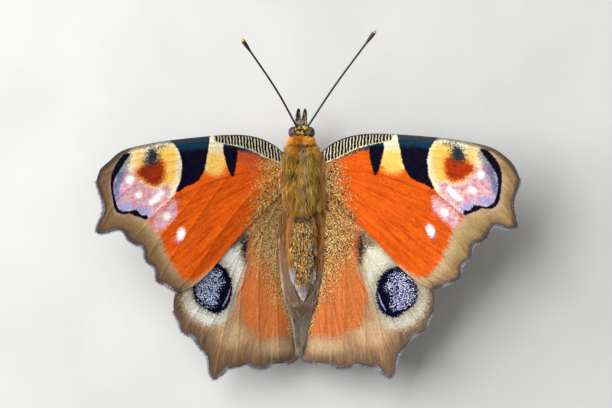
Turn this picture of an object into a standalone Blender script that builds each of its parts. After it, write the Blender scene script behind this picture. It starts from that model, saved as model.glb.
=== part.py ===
# A peacock butterfly (Aglais io), life size, resting on its legs with the wings spread flat.
# Head towards -Y, the animal's left at +X, feet on z = 0. Sizes here are millimetres.

import math

import bmesh
import bpy
from mathutils import Vector
from mathutils.geometry import delaunay_2d_cdt

MM = 0.001
GAP = 0.3  # clearance between pieces that touch

# Body, along Y
HEAD_FRONT, HEAD_REAR = -12.2, -10.4
HEAD_HALF_WIDTH, HEAD_HALF_HEIGHT, HEAD_Z = 1.3, 1.35, 7.0
EYE_CENTRE = (1.28, -10.95, 7.1)
EYE_RADII = (0.78, 0.92, 1.0)
COLLAR_FRONT, COLLAR_REAR = -10.1, -8.75
COLLAR_FRONT_RADIUS, COLLAR_REAR_RADIUS, COLLAR_Z = 1.45, 2.0, 7.0
THORAX_FRONT, THORAX_REAR = -8.45, 0.55
THORAX_HALF_WIDTH, THORAX_HALF_HEIGHT, THORAX_Z = 2.75, 2.75, 6.9
ABDOMEN_FRONT, ABDOMEN_REAR = 0.85, 14.3
ABDOMEN_HALF_WIDTH, ABDOMEN_HALF_HEIGHT = 2.05, 2.0
ABDOMEN_FRONT_Z, ABDOMEN_REAR_Z = 6.7, 5.7
ABDOMEN_SEGMENTS = 8

# Feelers and mouthparts
PALP_ROOT, PALP_TIP = (0.5, -11.75, 6.35), (0.52, -14.7, 7.45)
ANTENNA_ROOT = (0.62, -11.45, 7.75)
ANTENNA_TIPS = {"left": (9.8, -24.5, 14.6), "right": (10.7, -26.1, 10.8)}
ANTENNA_RADIUS, CLUB_RADIUS, CLUB_LENGTH = 0.26, 0.42, 2.6
TONGUE_RADIUS, TONGUE_COIL_RADIUS, TONGUE_TURNS = 0.24, 0.95, 1.6
TONGUE_CENTRE = (-11.4, 4.75)

# Wings: one sheet that both pairs follow, the hindwings a step below the forewings
WING_THICKNESS = 0.52
WING_ROOT_Z, WING_HINGE = 8.2, 2.6
WING_LENGTH = 28.5
WING_RISE = math.tan(math.radians(11.0))
WING_ARCH = 0.6
HINDWING_STEP = 1.25
INNER_FOLD_DEPTH, INNER_FOLD_WIDTH = 1.1, 2.2
FOLD_LINES = [1.0, 2.1, 3.4]  # out from the hindwing's inner edge
FOREWING_SWEEP = {"left": 1.75, "right": 0.0}  # degrees, tips further back
TRIM_REACH = 1.6
VEIN_HEIGHT_TOP, VEIN_HEIGHT_BELOW = 0.16, 0.1
VEIN_ROOT_WIDTH, VEIN_TIP_WIDTH = 0.62, 0.36

# Outlines and veins of a right wing seen from above: out from the axis, back along the body
FORE_COSTA = [(2.75, -7.8), (4.2, -9.1), (5.6, -9.85), (7.1, -10.35), (9.3, -10.7), (12.5, -10.7),
              (17.0, -10.4), (21.5, -9.95), (25.0, -9.35), (27.6, -8.7), (29.3, -7.7), (30.7, -6.4),
              (31.5, -5.1)]
FORE_TEETH = [(31.9, -4.0), (31.4, 3.2), (26.6, 5.0), (24.65, 7.8), (23.0, 10.9), (19.6, 12.6)]
FORE_NOTCHES = [(0.6, 1.0), (1.25, 1.4), (0.75, 1.0), (0.6, 1.0), (0.1, 1.0)]
# The left forewing's outer edge is drawn in a little: where, and by how much
FORE_TRIM = {"left": [(29.5, -7.5, -0.35, 0.35), (31.7, -4.3, -0.9, -0.5), (31.3, -0.5, -1.0, 0.0),
                      (31.4, 3.2, -0.2, -0.15), (29.0, 3.9, -0.1, -0.3), (26.6, 5.0, -0.55, -0.4),
                      (24.65, 7.8, -0.6, -0.4), (23.0, 10.9, -0.5, -0.35), (19.6, 12.6, -0.15, -0.2)],
             "right": []}
FORE_INNER = [(18.3, 12.2), (16.5, 11.1), (14.4, 9.3), (11.9, 6.5), (8.8, 3.3), (5.6, 0.2), (3.0, -2.5)]
FORE_VEINS = {
    "subcosta": [(3.9, -7.6), (8.5, -9.3), (13.5, -9.6), (18.0, -9.7)],
    "radius": [(3.6, -6.9), (9.0, -8.4), (14.0, -8.9), (18.2, -8.3), (23.0, -7.7), (27.5, -6.8),
               (30.9, -5.0)],
    "radius_1": [(13.0, -8.85), (17.0, -9.1), (21.5, -9.35)],
    "radius_3": [(20.6, -8.0), (24.5, -8.4), (27.3, -8.1)],
    "media_1": [(18.2, -8.3), (19.0, -7.2), (24.0, -6.6), (28.5, -5.2), (31.3, -3.7)],
    "media_2": [(18.9, -5.9), (22.5, -4.6), (26.3, -3.2), (29.6, -0.2), (30.9, 2.7)],
    "cubitus": [(3.5, -5.6), (8.0, -5.2), (12.5, -4.3), (16.0, -3.0), (19.0, -1.7), (22.6, 1.0),
                (26.1, 4.5)],
    "cell_end": [(19.0, -7.2), (18.9, -5.9), (18.6, -1.9)],
    "cubitus_1": [(15.2, -3.35), (18.2, 0.0), (21.6, 3.9), (24.2, 7.3)],
    "cubitus_2": [(11.2, -4.7), (14.6, -0.6), (18.6, 4.9), (22.5, 10.4)],
    "anal": [(3.6, -4.5), (8.0, -1.7), (12.5, 3.4), (16.6, 9.0), (19.4, 12.0)],
}
HIND_COSTA = [(3.25, -3.2), (6.0, -1.0), (10.9, 3.2), (15.5, 8.2), (18.2, 11.4), (19.2, 12.9),
              (19.5, 14.3)]
HIND_TEETH = [(19.45, 15.6), (18.1, 18.7), (15.5, 20.8), (13.8, 25.1), (12.5, 25.4), (9.8, 23.95),
              (6.9, 24.3), (5.6, 24.4), (1.1, 23.55)]
HIND_NOTCHES = [(0.1, 1.0), (0.3, 1.0), (0.5, 0.85), (-0.6, 1.0), (0.35, 1.1), (0.4, 1.0), (-0.1, 1.0),
                (0.3, 0.75)]
HIND_INNER = [(0.45, 23.2), (0.2, 22.2), (0.16, 20.0), (0.16, 17.5), (0.16, 15.2)]
HIND_VEINS = {
    "radius": [(4.0, -2.2), (8.5, 2.4), (12.5, 7.3), (16.5, 12.0), (19.0, 15.3)],
    "radial_sector": [(3.9, -1.5), (7.0, 3.0), (9.5, 7.0), (13.5, 12.0), (17.6, 18.3)],
    "media_2": [(9.5, 7.0), (12.0, 14.0), (15.1, 20.3)],
    "media_3": [(4.0, -0.6), (6.4, 4.5), (8.8, 9.0), (11.2, 16.0), (13.1, 25.1)],
    "cubitus_1": [(7.9, 7.4), (9.3, 13.5), (9.7, 23.4)],
    "cubitus_2": [(5.7, 3.2), (6.6, 10.5), (6.3, 23.9)],
    "anal_2": [(3.9, 0.9), (3.7, 5.5), (3.7, 14.0), (3.2, 23.0)],
}

# Legs: the middle and hind pairs carry the body, the front pair is small and tucked up
LEG_JOINTS = {
    "mid": [(1.25, -5.1, 4.7), (4.9, -6.3, 5.2), (6.9, -7.3, 1.0), (8.6, -9.6, 0.0)],
    "hind": [(1.25, -1.9, 4.7), (4.3, 1.0, 5.2), (6.3, 5.0, 1.0), (7.4, 8.9, 0.0)],
}
FEMUR_RADII, TIBIA_RADII = (0.42, 0.3), (0.3, 0.25)
TARSUS_RADIUS, TARSUS_JOINTS, TARSUS_FLAT = 0.26, 5, 0.07
FORELEG_POINTS = [(0.95, -7.9, 4.75), (1.15, -9.3, 3.9), (1.0, -10.9, 4.6)]
FORELEG_RADIUS = 0.3

SIDES = {"left": 1, "right": -1}


def clear_scene():
    for item in list(bpy.data.objects):
        bpy.data.objects.remove(item, do_unlink=True)


def make_material(name, colour, roughness):
    material = bpy.data.materials.new(name)
    material.use_nodes = True
    shader = material.node_tree.nodes["Principled BSDF"]
    shader.inputs["Base Color"].default_value = (*colour, 1.0)
    shader.inputs["Roughness"].default_value = roughness
    shader.inputs["Metallic"].default_value = 0.0
    return material


# Turns a bmesh in millimetres into a named object in metres
def add_object(name, work, material, smooth=True):
    bmesh.ops.recalc_face_normals(work, faces=work.faces)
    bmesh.ops.scale(work, vec=(MM, MM, MM), verts=work.verts)
    mesh = bpy.data.meshes.new(name)
    work.to_mesh(mesh)
    work.free()
    mesh.materials.append(material)
    if smooth:
        mesh.shade_smooth()
        mesh.set_sharp_from_angle(angle=math.radians(40))
    piece = bpy.data.objects.new(name, mesh)
    bpy.context.collection.objects.link(piece)
    return piece


# A smooth curve through the points, with a point about every step
def smooth_curve(points, step):
    knots = [Vector(p) for p in points]
    knots = [2 * knots[0] - knots[1]] + knots + [2 * knots[-1] - knots[-2]]
    curve = []
    for before, start, end, after in zip(knots, knots[1:], knots[2:], knots[3:]):
        count = max(1, round((end - start).length / step))
        for index in range(count):
            t = index / count
            curve.append(0.5 * (2 * start + (end - before) * t
                                + (2 * before - 5 * start + 4 * end - after) * t ** 2
                                + (3 * start - before - 3 * end + after) * t ** 3))
    return curve + [knots[-2]]


# Closed skin over rings that all have the same number of points, with flat ends
def loft(rings):
    work = bmesh.new()
    loops = [[work.verts.new(point) for point in ring] for ring in rings]
    count = len(loops[0])
    for near, far in zip(loops, loops[1:]):
        for index in range(count):
            other = (index + 1) % count
            work.faces.new((near[index], near[other], far[other], far[index]))
    work.faces.new(loops[0])
    work.faces.new(loops[-1])
    bmesh.ops.recalc_face_normals(work, faces=work.faces)
    return work


# An upright oval ring across the body
def body_ring(y, half_width, half_height, centre_z, sides):
    angles = [2 * math.pi * index / sides for index in range(sides)]
    return [Vector((half_width * math.cos(a), y, centre_z + half_height * math.sin(a))) for a in angles]


# Round rings along a path, turned with it
def tube_rings(path, radii, sides):
    rings = []
    up = Vector((0, 0, 1))
    for index, point in enumerate(path):
        ahead = path[min(index + 1, len(path) - 1)]
        behind = path[max(index - 1, 0)]
        along = (ahead - behind).normalized()
        across = along.cross(up).normalized()
        if across.length < 0.5:
            across = Vector((1, 0, 0))
        over = across.cross(along)
        ring = []
        for side in range(sides):
            angle = 2 * math.pi * (side + 0.5) / sides
            ring.append(point + radii[index] * (math.cos(angle) * across + math.sin(angle) * over))
        rings.append(ring)
    return rings


def oval_ball(centre, radii, rows, columns):
    work = bmesh.new()
    bmesh.ops.create_uvsphere(work, u_segments=columns, v_segments=rows, radius=1.0)
    bmesh.ops.scale(work, vec=radii, verts=work.verts)
    bmesh.ops.translate(work, vec=centre, verts=work.verts)
    return work


# Hollows a socket in a piece for what is sunk into it
def cut_sockets(piece, cutters):
    for cutter in cutters:
        cut = piece.modifiers.new("socket", "BOOLEAN")
        cut.operation = "DIFFERENCE"
        cut.object = cutter
        cut.solver = "EXACT"
    bpy.context.view_layer.update()
    evaluated = piece.evaluated_get(bpy.context.evaluated_depsgraph_get())
    mesh = bpy.data.meshes.new_from_object(evaluated)
    piece.modifiers.clear()
    piece.data = mesh
    for cutter in cutters:
        bpy.data.objects.remove(cutter, do_unlink=True)


def barrel(t, front, rear, middle, fullness):
    ends = front + (rear - front) * t
    return ends + (middle - ends) * math.sin(math.pi * t) ** fullness


def thorax_half_width(y):
    t = (y - THORAX_FRONT) / (THORAX_REAR - THORAX_FRONT)
    return barrel(min(max(t, 0), 1), COLLAR_REAR_RADIUS, 1.75, THORAX_HALF_WIDTH, 0.4)


def thorax_half_height(y):
    t = (y - THORAX_FRONT) / (THORAX_REAR - THORAX_FRONT)
    return barrel(min(max(t, 0), 1), COLLAR_REAR_RADIUS, 1.75, THORAX_HALF_HEIGHT, 0.5)


# How far out the side of the thorax lies at a height
def thorax_side(y, z):
    level = min(abs(z - THORAX_Z) / thorax_half_height(y), 0.95)
    return thorax_half_width(y) * math.sqrt(1 - level ** 2)


def abdomen_half_width(y):
    t = min(max((y - ABDOMEN_FRONT) / (ABDOMEN_REAR - ABDOMEN_FRONT), 0), 1)
    waist = 0.86 + 0.14 * min(1, t / 0.2)
    return ABDOMEN_HALF_WIDTH * waist * (1 - t ** 5) ** 0.8


# Height of the middle of the forewing over a point of its plan
def wing_sheet(out, back):
    s = (out - WING_HINGE) / WING_LENGTH
    height = WING_ROOT_Z + WING_RISE * (out - WING_HINGE) + WING_ARCH * 4 * s * (1 - s)
    front_droop = 0.45 * (max(0, -5 - back) / 5.7) ** 2
    rear_droop = 0.02 * max(0, back - 8) ** 1.5
    return height - front_droop - rear_droop


# The inner part of the hindwing folds down beside and behind the abdomen
def hindwing_sheet(out, back):
    start = min(max(back / 4, 0), 1)
    depth = INNER_FOLD_DEPTH * start * start * (3 - 2 * start)
    inner = abdomen_half_width(back) if back > ABDOMEN_FRONT else thorax_half_width(back)
    fold = depth * math.exp(-(max(0, out - inner) / INNER_FOLD_WIDTH) ** 2)
    return wing_sheet(out, back) - HINDWING_STEP - fold


# The margin runs from tooth to tooth, scooped out between them
def scalloped_margin(teeth, notches, inside):
    margin = []
    for start, end, (depth, lean) in zip(teeth, teeth[1:], notches):
        start, end = Vector(start), Vector(end)
        along = end - start
        inward = Vector((-along.y, along.x)).normalized()
        if inward.dot(inside - start) < 0:
            inward = -inward
        count = max(3, round(along.length / 0.75))
        for index in range(count):
            t = index / count
            scoop = depth * (0.5 - 0.5 * math.cos(2 * math.pi * t ** lean))
            margin.append(start + along * t + inward * scoop)
    return margin + [Vector(teeth[-1])]


def lay_forewing(points, name):
    pivot = Vector((WING_HINGE, -4.0))
    angle = math.radians(FOREWING_SWEEP[name])
    laid = []
    for point in points:
        shift, weight = Vector((0, 0)), 0.0
        for x, y, out, back in FORE_TRIM[name]:
            near = math.exp(-((point[0] - x) ** 2 + (point[1] - y) ** 2) / (2 * TRIM_REACH ** 2))
            shift += Vector((out, back)) * near
            weight += near
        arm = Vector(point) + shift / max(1.0, weight) - pivot
        laid.append(pivot + Vector((arm.x * math.cos(angle) - arm.y * math.sin(angle),
                                    arm.x * math.sin(angle) + arm.y * math.cos(angle))))
    return laid


def forewing_outline(name):
    costa = smooth_curve(FORE_COSTA + FORE_TEETH[:1], 1.1)[:-1]
    margin = scalloped_margin(FORE_TEETH, FORE_NOTCHES, Vector((20, -2)))
    inner = smooth_curve(FORE_TEETH[-1:] + FORE_INNER, 1.3)[1:]
    outline = lay_forewing(costa + margin + inner, name)
    front, rear = outline[0].y, outline[-1].y
    root = []
    for index in range(1, 5):
        back = rear + (front - rear) * index / 5
        root.append(Vector((thorax_side(back, WING_ROOT_Z) + GAP, back)))
    outline[0].x = thorax_side(front, WING_ROOT_Z) + GAP
    outline[-1].x = thorax_side(rear, WING_ROOT_Z) + GAP
    return outline + root


def hindwing_outline():
    costa = smooth_curve(HIND_COSTA + HIND_TEETH[:1], 1.2)[:-1]
    margin = scalloped_margin(HIND_TEETH, HIND_NOTCHES, Vector((10, 14)))
    inner = smooth_curve(HIND_TEETH[-1:] + HIND_INNER, 1.2)[1:]
    flank_rear, flank_front = 14.6, 1.2
    flank = []
    for index in range(15):
        back = flank_rear + (flank_front - flank_rear) * (index / 14) ** 1.2
        flank.append(Vector((abdomen_half_width(back) + GAP, back)))
    height = WING_ROOT_Z - HINDWING_STEP
    root = []
    for index in range(5):
        back = 0.3 + (HIND_COSTA[0][1] - 0.3) * index / 5
        root.append(Vector((thorax_side(back, height) + GAP, back)))
    costa[0].x = thorax_side(costa[0].y, height) + GAP
    return costa + margin + inner + flank + root


def distance_to_line(point, line):
    best, place = 1e9, 0.0
    for index, (start, end) in enumerate(zip(line, line[1:])):
        along = end - start
        t = min(max((point - start).dot(along) / along.length_squared, 0), 1)
        distance = (point - start - along * t).length
        if distance < best:
            best, place = distance, (index + t) / (len(line) - 1)
    return best, place


def inside_loop(point, loop):
    inside = False
    for start, end in zip(loop, loop[1:] + loop[:1]):
        if (start.y > point.y) != (end.y > point.y):
            if point.x < start.x + (end.x - start.x) * (point.y - start.y) / (end.y - start.y):
                inside = not inside
    return inside


# Lines along the fold, for its curve to be followed closely
def fold_lines():
    lines = []
    for distance in FOLD_LINES:
        line = []
        for index in range(9):
            back = 3.0 + (22.6 - 3.0) * index / 8
            line.append(Vector((abdomen_half_width(back) + distance, back)))
        lines.append(line)
    return lines


def vein_width(place):
    return VEIN_ROOT_WIDTH + (VEIN_TIP_WIDTH - VEIN_ROOT_WIDTH) * place


# Height of the vein ridges over a point, as a share of the full ridge
def ridge_share(point, veins):
    share = 0.0
    for vein in veins:
        distance, place = distance_to_line(point, vein)
        taper = 1.0 - 0.35 * place
        share = max(share, taper * (1 - distance / (0.5 * vein_width(place))))
    return share


# Splits a wing's plan into triangles with lines along the crest and feet of each vein
def wing_triangles(outline, veins, creases, grid_step):
    points = list(outline)
    count = len(outline)
    edges = [(index, (index + 1) % count) for index in range(count)]
    for vein in veins:
        lines = [[], [], []]
        last = len(vein) - 1
        for index, point in enumerate(vein):
            along = (vein[min(index + 1, last)] - vein[max(index - 1, 0)]).normalized()
            across = Vector((-along.y, along.x)) * 0.5 * vein_width(index / last)
            lines[0].append(point - across)
            lines[1].append(point)
            lines[2].append(point + across)
        for line in lines:
            first = len(points)
            points += line
            edges += [(first + index, first + index + 1) for index in range(last)]
    lines = veins + [outline + outline[:1]]
    for crease in creases:
        points += [spot for spot in crease if min(distance_to_line(spot, line)[0] for line in lines) > 0.5]
    lines += creases
    width = max(p.x for p in outline)
    top, bottom = min(p.y for p in outline), max(p.y for p in outline)
    row_step = grid_step * math.sqrt(0.75)
    for row in range(int((bottom - top) / row_step) + 1):
        for column in range(int(width / grid_step) + 1):
            spot = Vector((column * grid_step + grid_step / 2 * (row % 2), top + row * row_step))
            if inside_loop(spot, outline):
                if min(distance_to_line(spot, line)[0] for line in lines) > 0.45 * grid_step:
                    points.append(spot)
    result = delaunay_2d_cdt(points, edges, [], 1, 0.02)
    return result[0], result[2]


# One closed wing: the same triangles above and below, stitched round the rim
def build_wing(name, side, outline, veins, creases, sheet, material):
    plan, triangles = wing_triangles(outline, veins, creases, 2.4)
    work = bmesh.new()
    upper, lower = [], []
    for point in plan:
        middle = sheet(point.x, point.y)
        share = max(0.0, ridge_share(point, veins))
        top = middle + WING_THICKNESS / 2 + VEIN_HEIGHT_TOP * share
        bottom = middle - WING_THICKNESS / 2 - VEIN_HEIGHT_BELOW * share
        upper.append(work.verts.new((side * point.x, point.y, top)))
        lower.append(work.verts.new((side * point.x, point.y, bottom)))
    uses = {}
    for corners in triangles:
        work.faces.new([upper[index] for index in corners])
        work.faces.new([lower[index] for index in reversed(corners)])
        for start, end in zip(corners, corners[1:] + corners[:1]):
            uses.setdefault(frozenset((start, end)), []).append((start, end))
    for pair in uses.values():
        if len(pair) == 1:
            start, end = pair[0]
            work.faces.new((upper[start], lower[start], lower[end]))
            work.faces.new((upper[start], lower[end], upper[end]))
    loose = [vertex for vertex in work.verts if not vertex.link_faces]
    bmesh.ops.delete(work, geom=loose, context="VERTS")
    return add_object(name, work, material, smooth=False)


def build_wings(materials):
    for name, side in SIDES.items():
        outline = forewing_outline(name)
        veins = [lay_forewing(smooth_curve(line, 1.7), name) for line in FORE_VEINS.values()]
        build_wing("forewing_" + name, side, outline, veins, [], wing_sheet, materials["forewing"])
        veins = [smooth_curve(line, 1.8) for line in HIND_VEINS.values()]
        build_wing("hindwing_" + name, side, hindwing_outline(), veins, fold_lines(), hindwing_sheet,
                   materials["hindwing"])


def leg_path(points, side):
    return [Vector((side * x, y, z)) for x, y, z in points]


# A straight length of leg between two joints, kept short of both by half the gap
def leg_length(start, end, radii, grow=0.0):
    along = (end - start).normalized()
    first = start + along * (GAP / 2 - grow)
    last = end - along * (GAP / 2)
    count = 5
    path = [first.lerp(last, index / (count - 1)) for index in range(count)]
    swell = [radii[0] + (radii[1] - radii[0]) * index / (count - 1) for index in range(count)]
    swell = [radius * (1 + 0.12 * math.sin(math.pi * index / (count - 1))) + grow
             for index, radius in enumerate(swell)]
    return loft(tube_rings(path, swell, 8))


# The foot lies along the floor on a narrow flat, ringed at its joints
def leg_foot(start, end):
    along = (end - start).normalized()
    first = start + along * GAP
    rise = Vector((0, 0, TARSUS_RADIUS - TARSUS_FLAT))
    ground = end + rise
    bend = first.lerp(ground, 0.35)
    bend.z = rise.z
    path, radii = [], []
    steps = 3 * TARSUS_JOINTS
    for index in range(steps + 1):
        t = index / steps
        path.append(first.lerp(bend, t / 0.35) if t < 0.35 else bend.lerp(ground, (t - 0.35) / 0.65))
        joint = 1.0 if index % 3 else 0.86
        radii.append(TARSUS_RADIUS * joint * (1 - 0.1 * t))
    rings = tube_rings(path, radii, 8)
    for ring in rings:
        for point in ring:
            point.z = max(point.z, 0.0)
    return loft(rings)


def build_legs(materials):
    for name, side in SIDES.items():
        for pair, joints in LEG_JOINTS.items():
            hip, knee, ankle, toe = leg_path(joints, side)
            stem = "leg_" + pair + "_" + name
            add_object(stem + "_femur", leg_length(hip, knee, FEMUR_RADII), materials["legs"])
            add_object(stem + "_tibia", leg_length(knee, ankle, TIBIA_RADII), materials["legs"])
            add_object(stem + "_tarsus", leg_foot(ankle, toe), materials["legs"])
        add_object("foreleg_" + name, foreleg(side, 0.0), materials["legs"])


# A short brush of a leg, folded up under the collar
def foreleg(side, grow):
    path = smooth_curve([Vector(p) for p in leg_path(FORELEG_POINTS, side)], 0.6)
    last = len(path) - 1
    radii = [FORELEG_RADIUS * (1 - 0.35 * index / last) + grow for index in range(last + 1)]
    return loft(tube_rings(path, radii, 8))


def build_thorax(materials):
    steps = 14
    rings = []
    for index in range(steps + 1):
        t = 0.5 - 0.5 * math.cos(math.pi * index / steps)
        y = THORAX_FRONT + (THORAX_REAR - THORAX_FRONT) * t
        rings.append(body_ring(y, thorax_half_width(y), thorax_half_height(y), THORAX_Z, 28))
    thorax = add_object("thorax", loft(rings), materials["thorax"])
    sockets = []
    for side in SIDES.values():
        for joints in LEG_JOINTS.values():
            hip, knee = leg_path(joints[:2], side)
            cutter = leg_length(hip, knee, FEMUR_RADII, grow=GAP)
            sockets.append(add_object("cutter", cutter, materials["legs"]))
        sockets.append(add_object("cutter", foreleg(side, GAP), materials["legs"]))
    cut_sockets(thorax, sockets)


def build_collar(materials):
    rings = []
    steps = 4
    for index in range(steps + 1):
        t = index / steps
        y = COLLAR_FRONT + (COLLAR_REAR - COLLAR_FRONT) * t
        radius = COLLAR_FRONT_RADIUS + (COLLAR_REAR_RADIUS - COLLAR_FRONT_RADIUS) * t
        radius += 0.16 * math.sin(math.pi * t)
        rings.append(body_ring(y, radius, radius, COLLAR_Z, 28))
    collar = add_object("collar", loft(rings), materials["collar"])
    sockets = [add_object("cutter", foreleg(side, GAP), materials["legs"]) for side in SIDES.values()]
    cut_sockets(collar, sockets)


# The rings of the abdomen overlap like tiles, each a little wider at its rear edge
def build_abdomen(materials):
    rings = []
    length = ABDOMEN_REAR - ABDOMEN_FRONT
    steps = 4 * ABDOMEN_SEGMENTS
    for index in range(steps):
        t = index / steps
        tile = 1 + 0.035 * ((index % 4) / 3 - 0.5)
        y = ABDOMEN_FRONT + length * t
        width = abdomen_half_width(y) * tile
        height = width * ABDOMEN_HALF_HEIGHT / ABDOMEN_HALF_WIDTH
        middle = ABDOMEN_FRONT_Z + (ABDOMEN_REAR_Z - ABDOMEN_FRONT_Z) * t
        rings.append(body_ring(y, width, height, middle, 20))
    add_object("abdomen", loft(rings), materials["abdomen"])


def palp(side, grow):
    root, tip = Vector(PALP_ROOT), Vector(PALP_TIP)
    root.x *= side
    tip.x *= side
    bow = root.lerp(tip, 0.5) - Vector((0, 0, 0.35))
    path = smooth_curve([root, bow, tip], 0.42)
    last = len(path) - 1
    radii = []
    for index in range(last + 1):
        t = index / last
        radii.append(0.13 + 0.2 * math.sin(math.pi * min(1, 0.25 + 0.75 * t)) ** 0.7 + grow)
    return loft(tube_rings(path, radii, 10))


def antenna(name, side, grow):
    root, tip = Vector(ANTENNA_ROOT), Vector(ANTENNA_TIPS[name])
    root.x *= side
    tip.x *= side
    bow = root.lerp(tip, 0.45) + Vector((-side * 0.35, 0.0, 0.5))
    path = smooth_curve([root, bow, tip], 0.75)
    length = (tip - root).length
    last = len(path) - 1
    radii = []
    for index in range(last + 1):
        left = (1 - index / last) * length
        club = min(max((CLUB_LENGTH - left) / CLUB_LENGTH, 0), 1)
        round_off = 0.55 if index == last else 1.0
        swell = (CLUB_RADIUS - ANTENNA_RADIUS) * math.sin(math.pi / 2 * min(1, club * 1.6))
        radii.append((ANTENNA_RADIUS + swell) * round_off + grow)
    return loft(tube_rings(path, radii, 8))


# The coiled tongue hangs below the head between the palps
def tongue():
    steps = 22
    rings = []
    for index in range(steps + 1):
        turn = TONGUE_TURNS * index / steps
        angle = 2 * math.pi * turn
        radius = TONGUE_COIL_RADIUS - 0.62 * turn
        y = TONGUE_CENTRE[0] + radius * math.sin(angle)
        z = TONGUE_CENTRE[1] + radius * math.cos(angle)
        thick = TONGUE_RADIUS * (1 - 0.25 * index / steps)
        out = Vector((0, math.sin(angle), math.cos(angle)))
        ring = []
        for side in range(8):
            around = 2 * math.pi * side / 8
            ring.append(Vector((thick * math.sin(around), y, z)) + out * thick * math.cos(around))
        rings.append(ring)
    return loft(rings)


# The round groove under the head that the coil lies in
def tongue_groove():
    half = TONGUE_RADIUS + GAP
    radius = TONGUE_COIL_RADIUS + half
    rings = []
    for x in (-half, half):
        angles = [2 * math.pi * index / 20 for index in range(20)]
        rings.append([Vector((x, TONGUE_CENTRE[0] + radius * math.sin(angle),
                              TONGUE_CENTRE[1] + radius * math.cos(angle))) for angle in angles])
    return loft(rings)


def build_head(materials):
    centre = (0, (HEAD_FRONT + HEAD_REAR) / 2, HEAD_Z)
    radii = (HEAD_HALF_WIDTH, (HEAD_REAR - HEAD_FRONT) / 2, HEAD_HALF_HEIGHT)
    head = add_object("head", oval_ball(centre, radii, 14, 24), materials["head"])
    sockets = []
    for name, side in SIDES.items():
        eye_centre = (side * EYE_CENTRE[0], EYE_CENTRE[1], EYE_CENTRE[2])
        wide = [radius + GAP for radius in EYE_RADII]
        sockets.append(add_object("cutter", oval_ball(eye_centre, wide, 10, 16), materials["eyes"]))
        sockets.append(add_object("cutter", palp(side, GAP), materials["head"]))
        sockets.append(add_object("cutter", antenna(name, side, GAP), materials["head"]))
        add_object("eye_" + name, oval_ball(eye_centre, EYE_RADII, 12, 18), materials["eyes"])
        add_object("palp_" + name, palp(side, 0.0), materials["head"])
        add_object("antenna_" + name, antenna(name, side, 0.0), materials["antennae"])
    sockets.append(add_object("cutter", tongue_groove(), materials["head"]))
    add_object("proboscis", tongue(), materials["antennae"])
    cut_sockets(head, sockets)


# Sets the middle of the whole butterfly's box over the origin
def centre_on_origin():
    carrier = bpy.data.objects.new("butterfly", None)
    pieces = [item for item in bpy.data.objects if item.type == "MESH"]
    spots = [vertex.co for piece in pieces for vertex in piece.data.vertices]
    middle_x = (min(spot.x for spot in spots) + max(spot.x for spot in spots)) / 2
    middle_y = (min(spot.y for spot in spots) + max(spot.y for spot in spots)) / 2
    bpy.context.collection.objects.link(carrier)
    carrier.location = (-middle_x, -middle_y, 0)
    for piece in pieces:
        piece.parent = carrier


def main():
    clear_scene()
    materials = {
        "head": make_material("head_hair", (0.07, 0.05, 0.035), 0.8),
        "eyes": make_material("eye_facets", (0.05, 0.03, 0.02), 0.25),
        "antennae": make_material("feeler_scales", (0.05, 0.035, 0.025), 0.5),
        "collar": make_material("collar_hair", (0.33, 0.15, 0.04), 0.8),
        "thorax": make_material("thorax_hair", (0.22, 0.15, 0.05), 0.8),
        "abdomen": make_material("abdomen_scales", (0.1, 0.07, 0.04), 0.7),
        "legs": make_material("leg_scales", (0.12, 0.08, 0.05), 0.6),
        "forewing": make_material("forewing_scales", (0.6, 0.12, 0.02), 0.6),
        "hindwing": make_material("hindwing_scales", (0.42, 0.1, 0.03), 0.6),
    }
    build_thorax(materials)
    build_collar(materials)
    build_abdomen(materials)
    build_head(materials)
    build_legs(materials)
    build_wings(materials)
    centre_on_origin()


main()
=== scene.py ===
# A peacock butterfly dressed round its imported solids. Sizes are millimetres, meshes are metres.
import math

import bpy
import numpy as np
from mathutils import Matrix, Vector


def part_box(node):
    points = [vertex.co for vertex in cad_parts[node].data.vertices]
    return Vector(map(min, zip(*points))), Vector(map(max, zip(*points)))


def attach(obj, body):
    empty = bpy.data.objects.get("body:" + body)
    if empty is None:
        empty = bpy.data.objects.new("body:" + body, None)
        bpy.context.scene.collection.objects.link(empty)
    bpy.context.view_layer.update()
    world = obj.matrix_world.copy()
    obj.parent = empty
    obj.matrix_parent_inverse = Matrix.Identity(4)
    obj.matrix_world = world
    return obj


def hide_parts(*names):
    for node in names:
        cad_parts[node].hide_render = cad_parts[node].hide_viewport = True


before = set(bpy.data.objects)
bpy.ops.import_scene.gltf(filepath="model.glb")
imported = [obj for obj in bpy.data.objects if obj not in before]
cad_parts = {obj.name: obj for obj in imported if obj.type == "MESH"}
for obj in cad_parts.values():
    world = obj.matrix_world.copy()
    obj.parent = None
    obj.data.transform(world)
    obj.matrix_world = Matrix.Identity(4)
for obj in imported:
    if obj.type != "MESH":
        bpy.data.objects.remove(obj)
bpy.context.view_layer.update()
mm = 0.001
sides = {"left": 1, "right": -1}

# The solids' middle line, and where the design's own zero lies along the body
thoraxLow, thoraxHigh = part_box("thorax")
axisX = (thoraxLow.x + thoraxHigh.x) / 2 / mm
zeroY = thoraxLow.y / mm + 8.45


def toWorld(out, back, up, side=1):
    return np.stack([axisX + side * np.asarray(out, float), zeroY + np.asarray(back, float),
                     np.asarray(up, float) + 0 * np.asarray(out, float)], -1) * mm


# Smooth curves and shapes in plan

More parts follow.
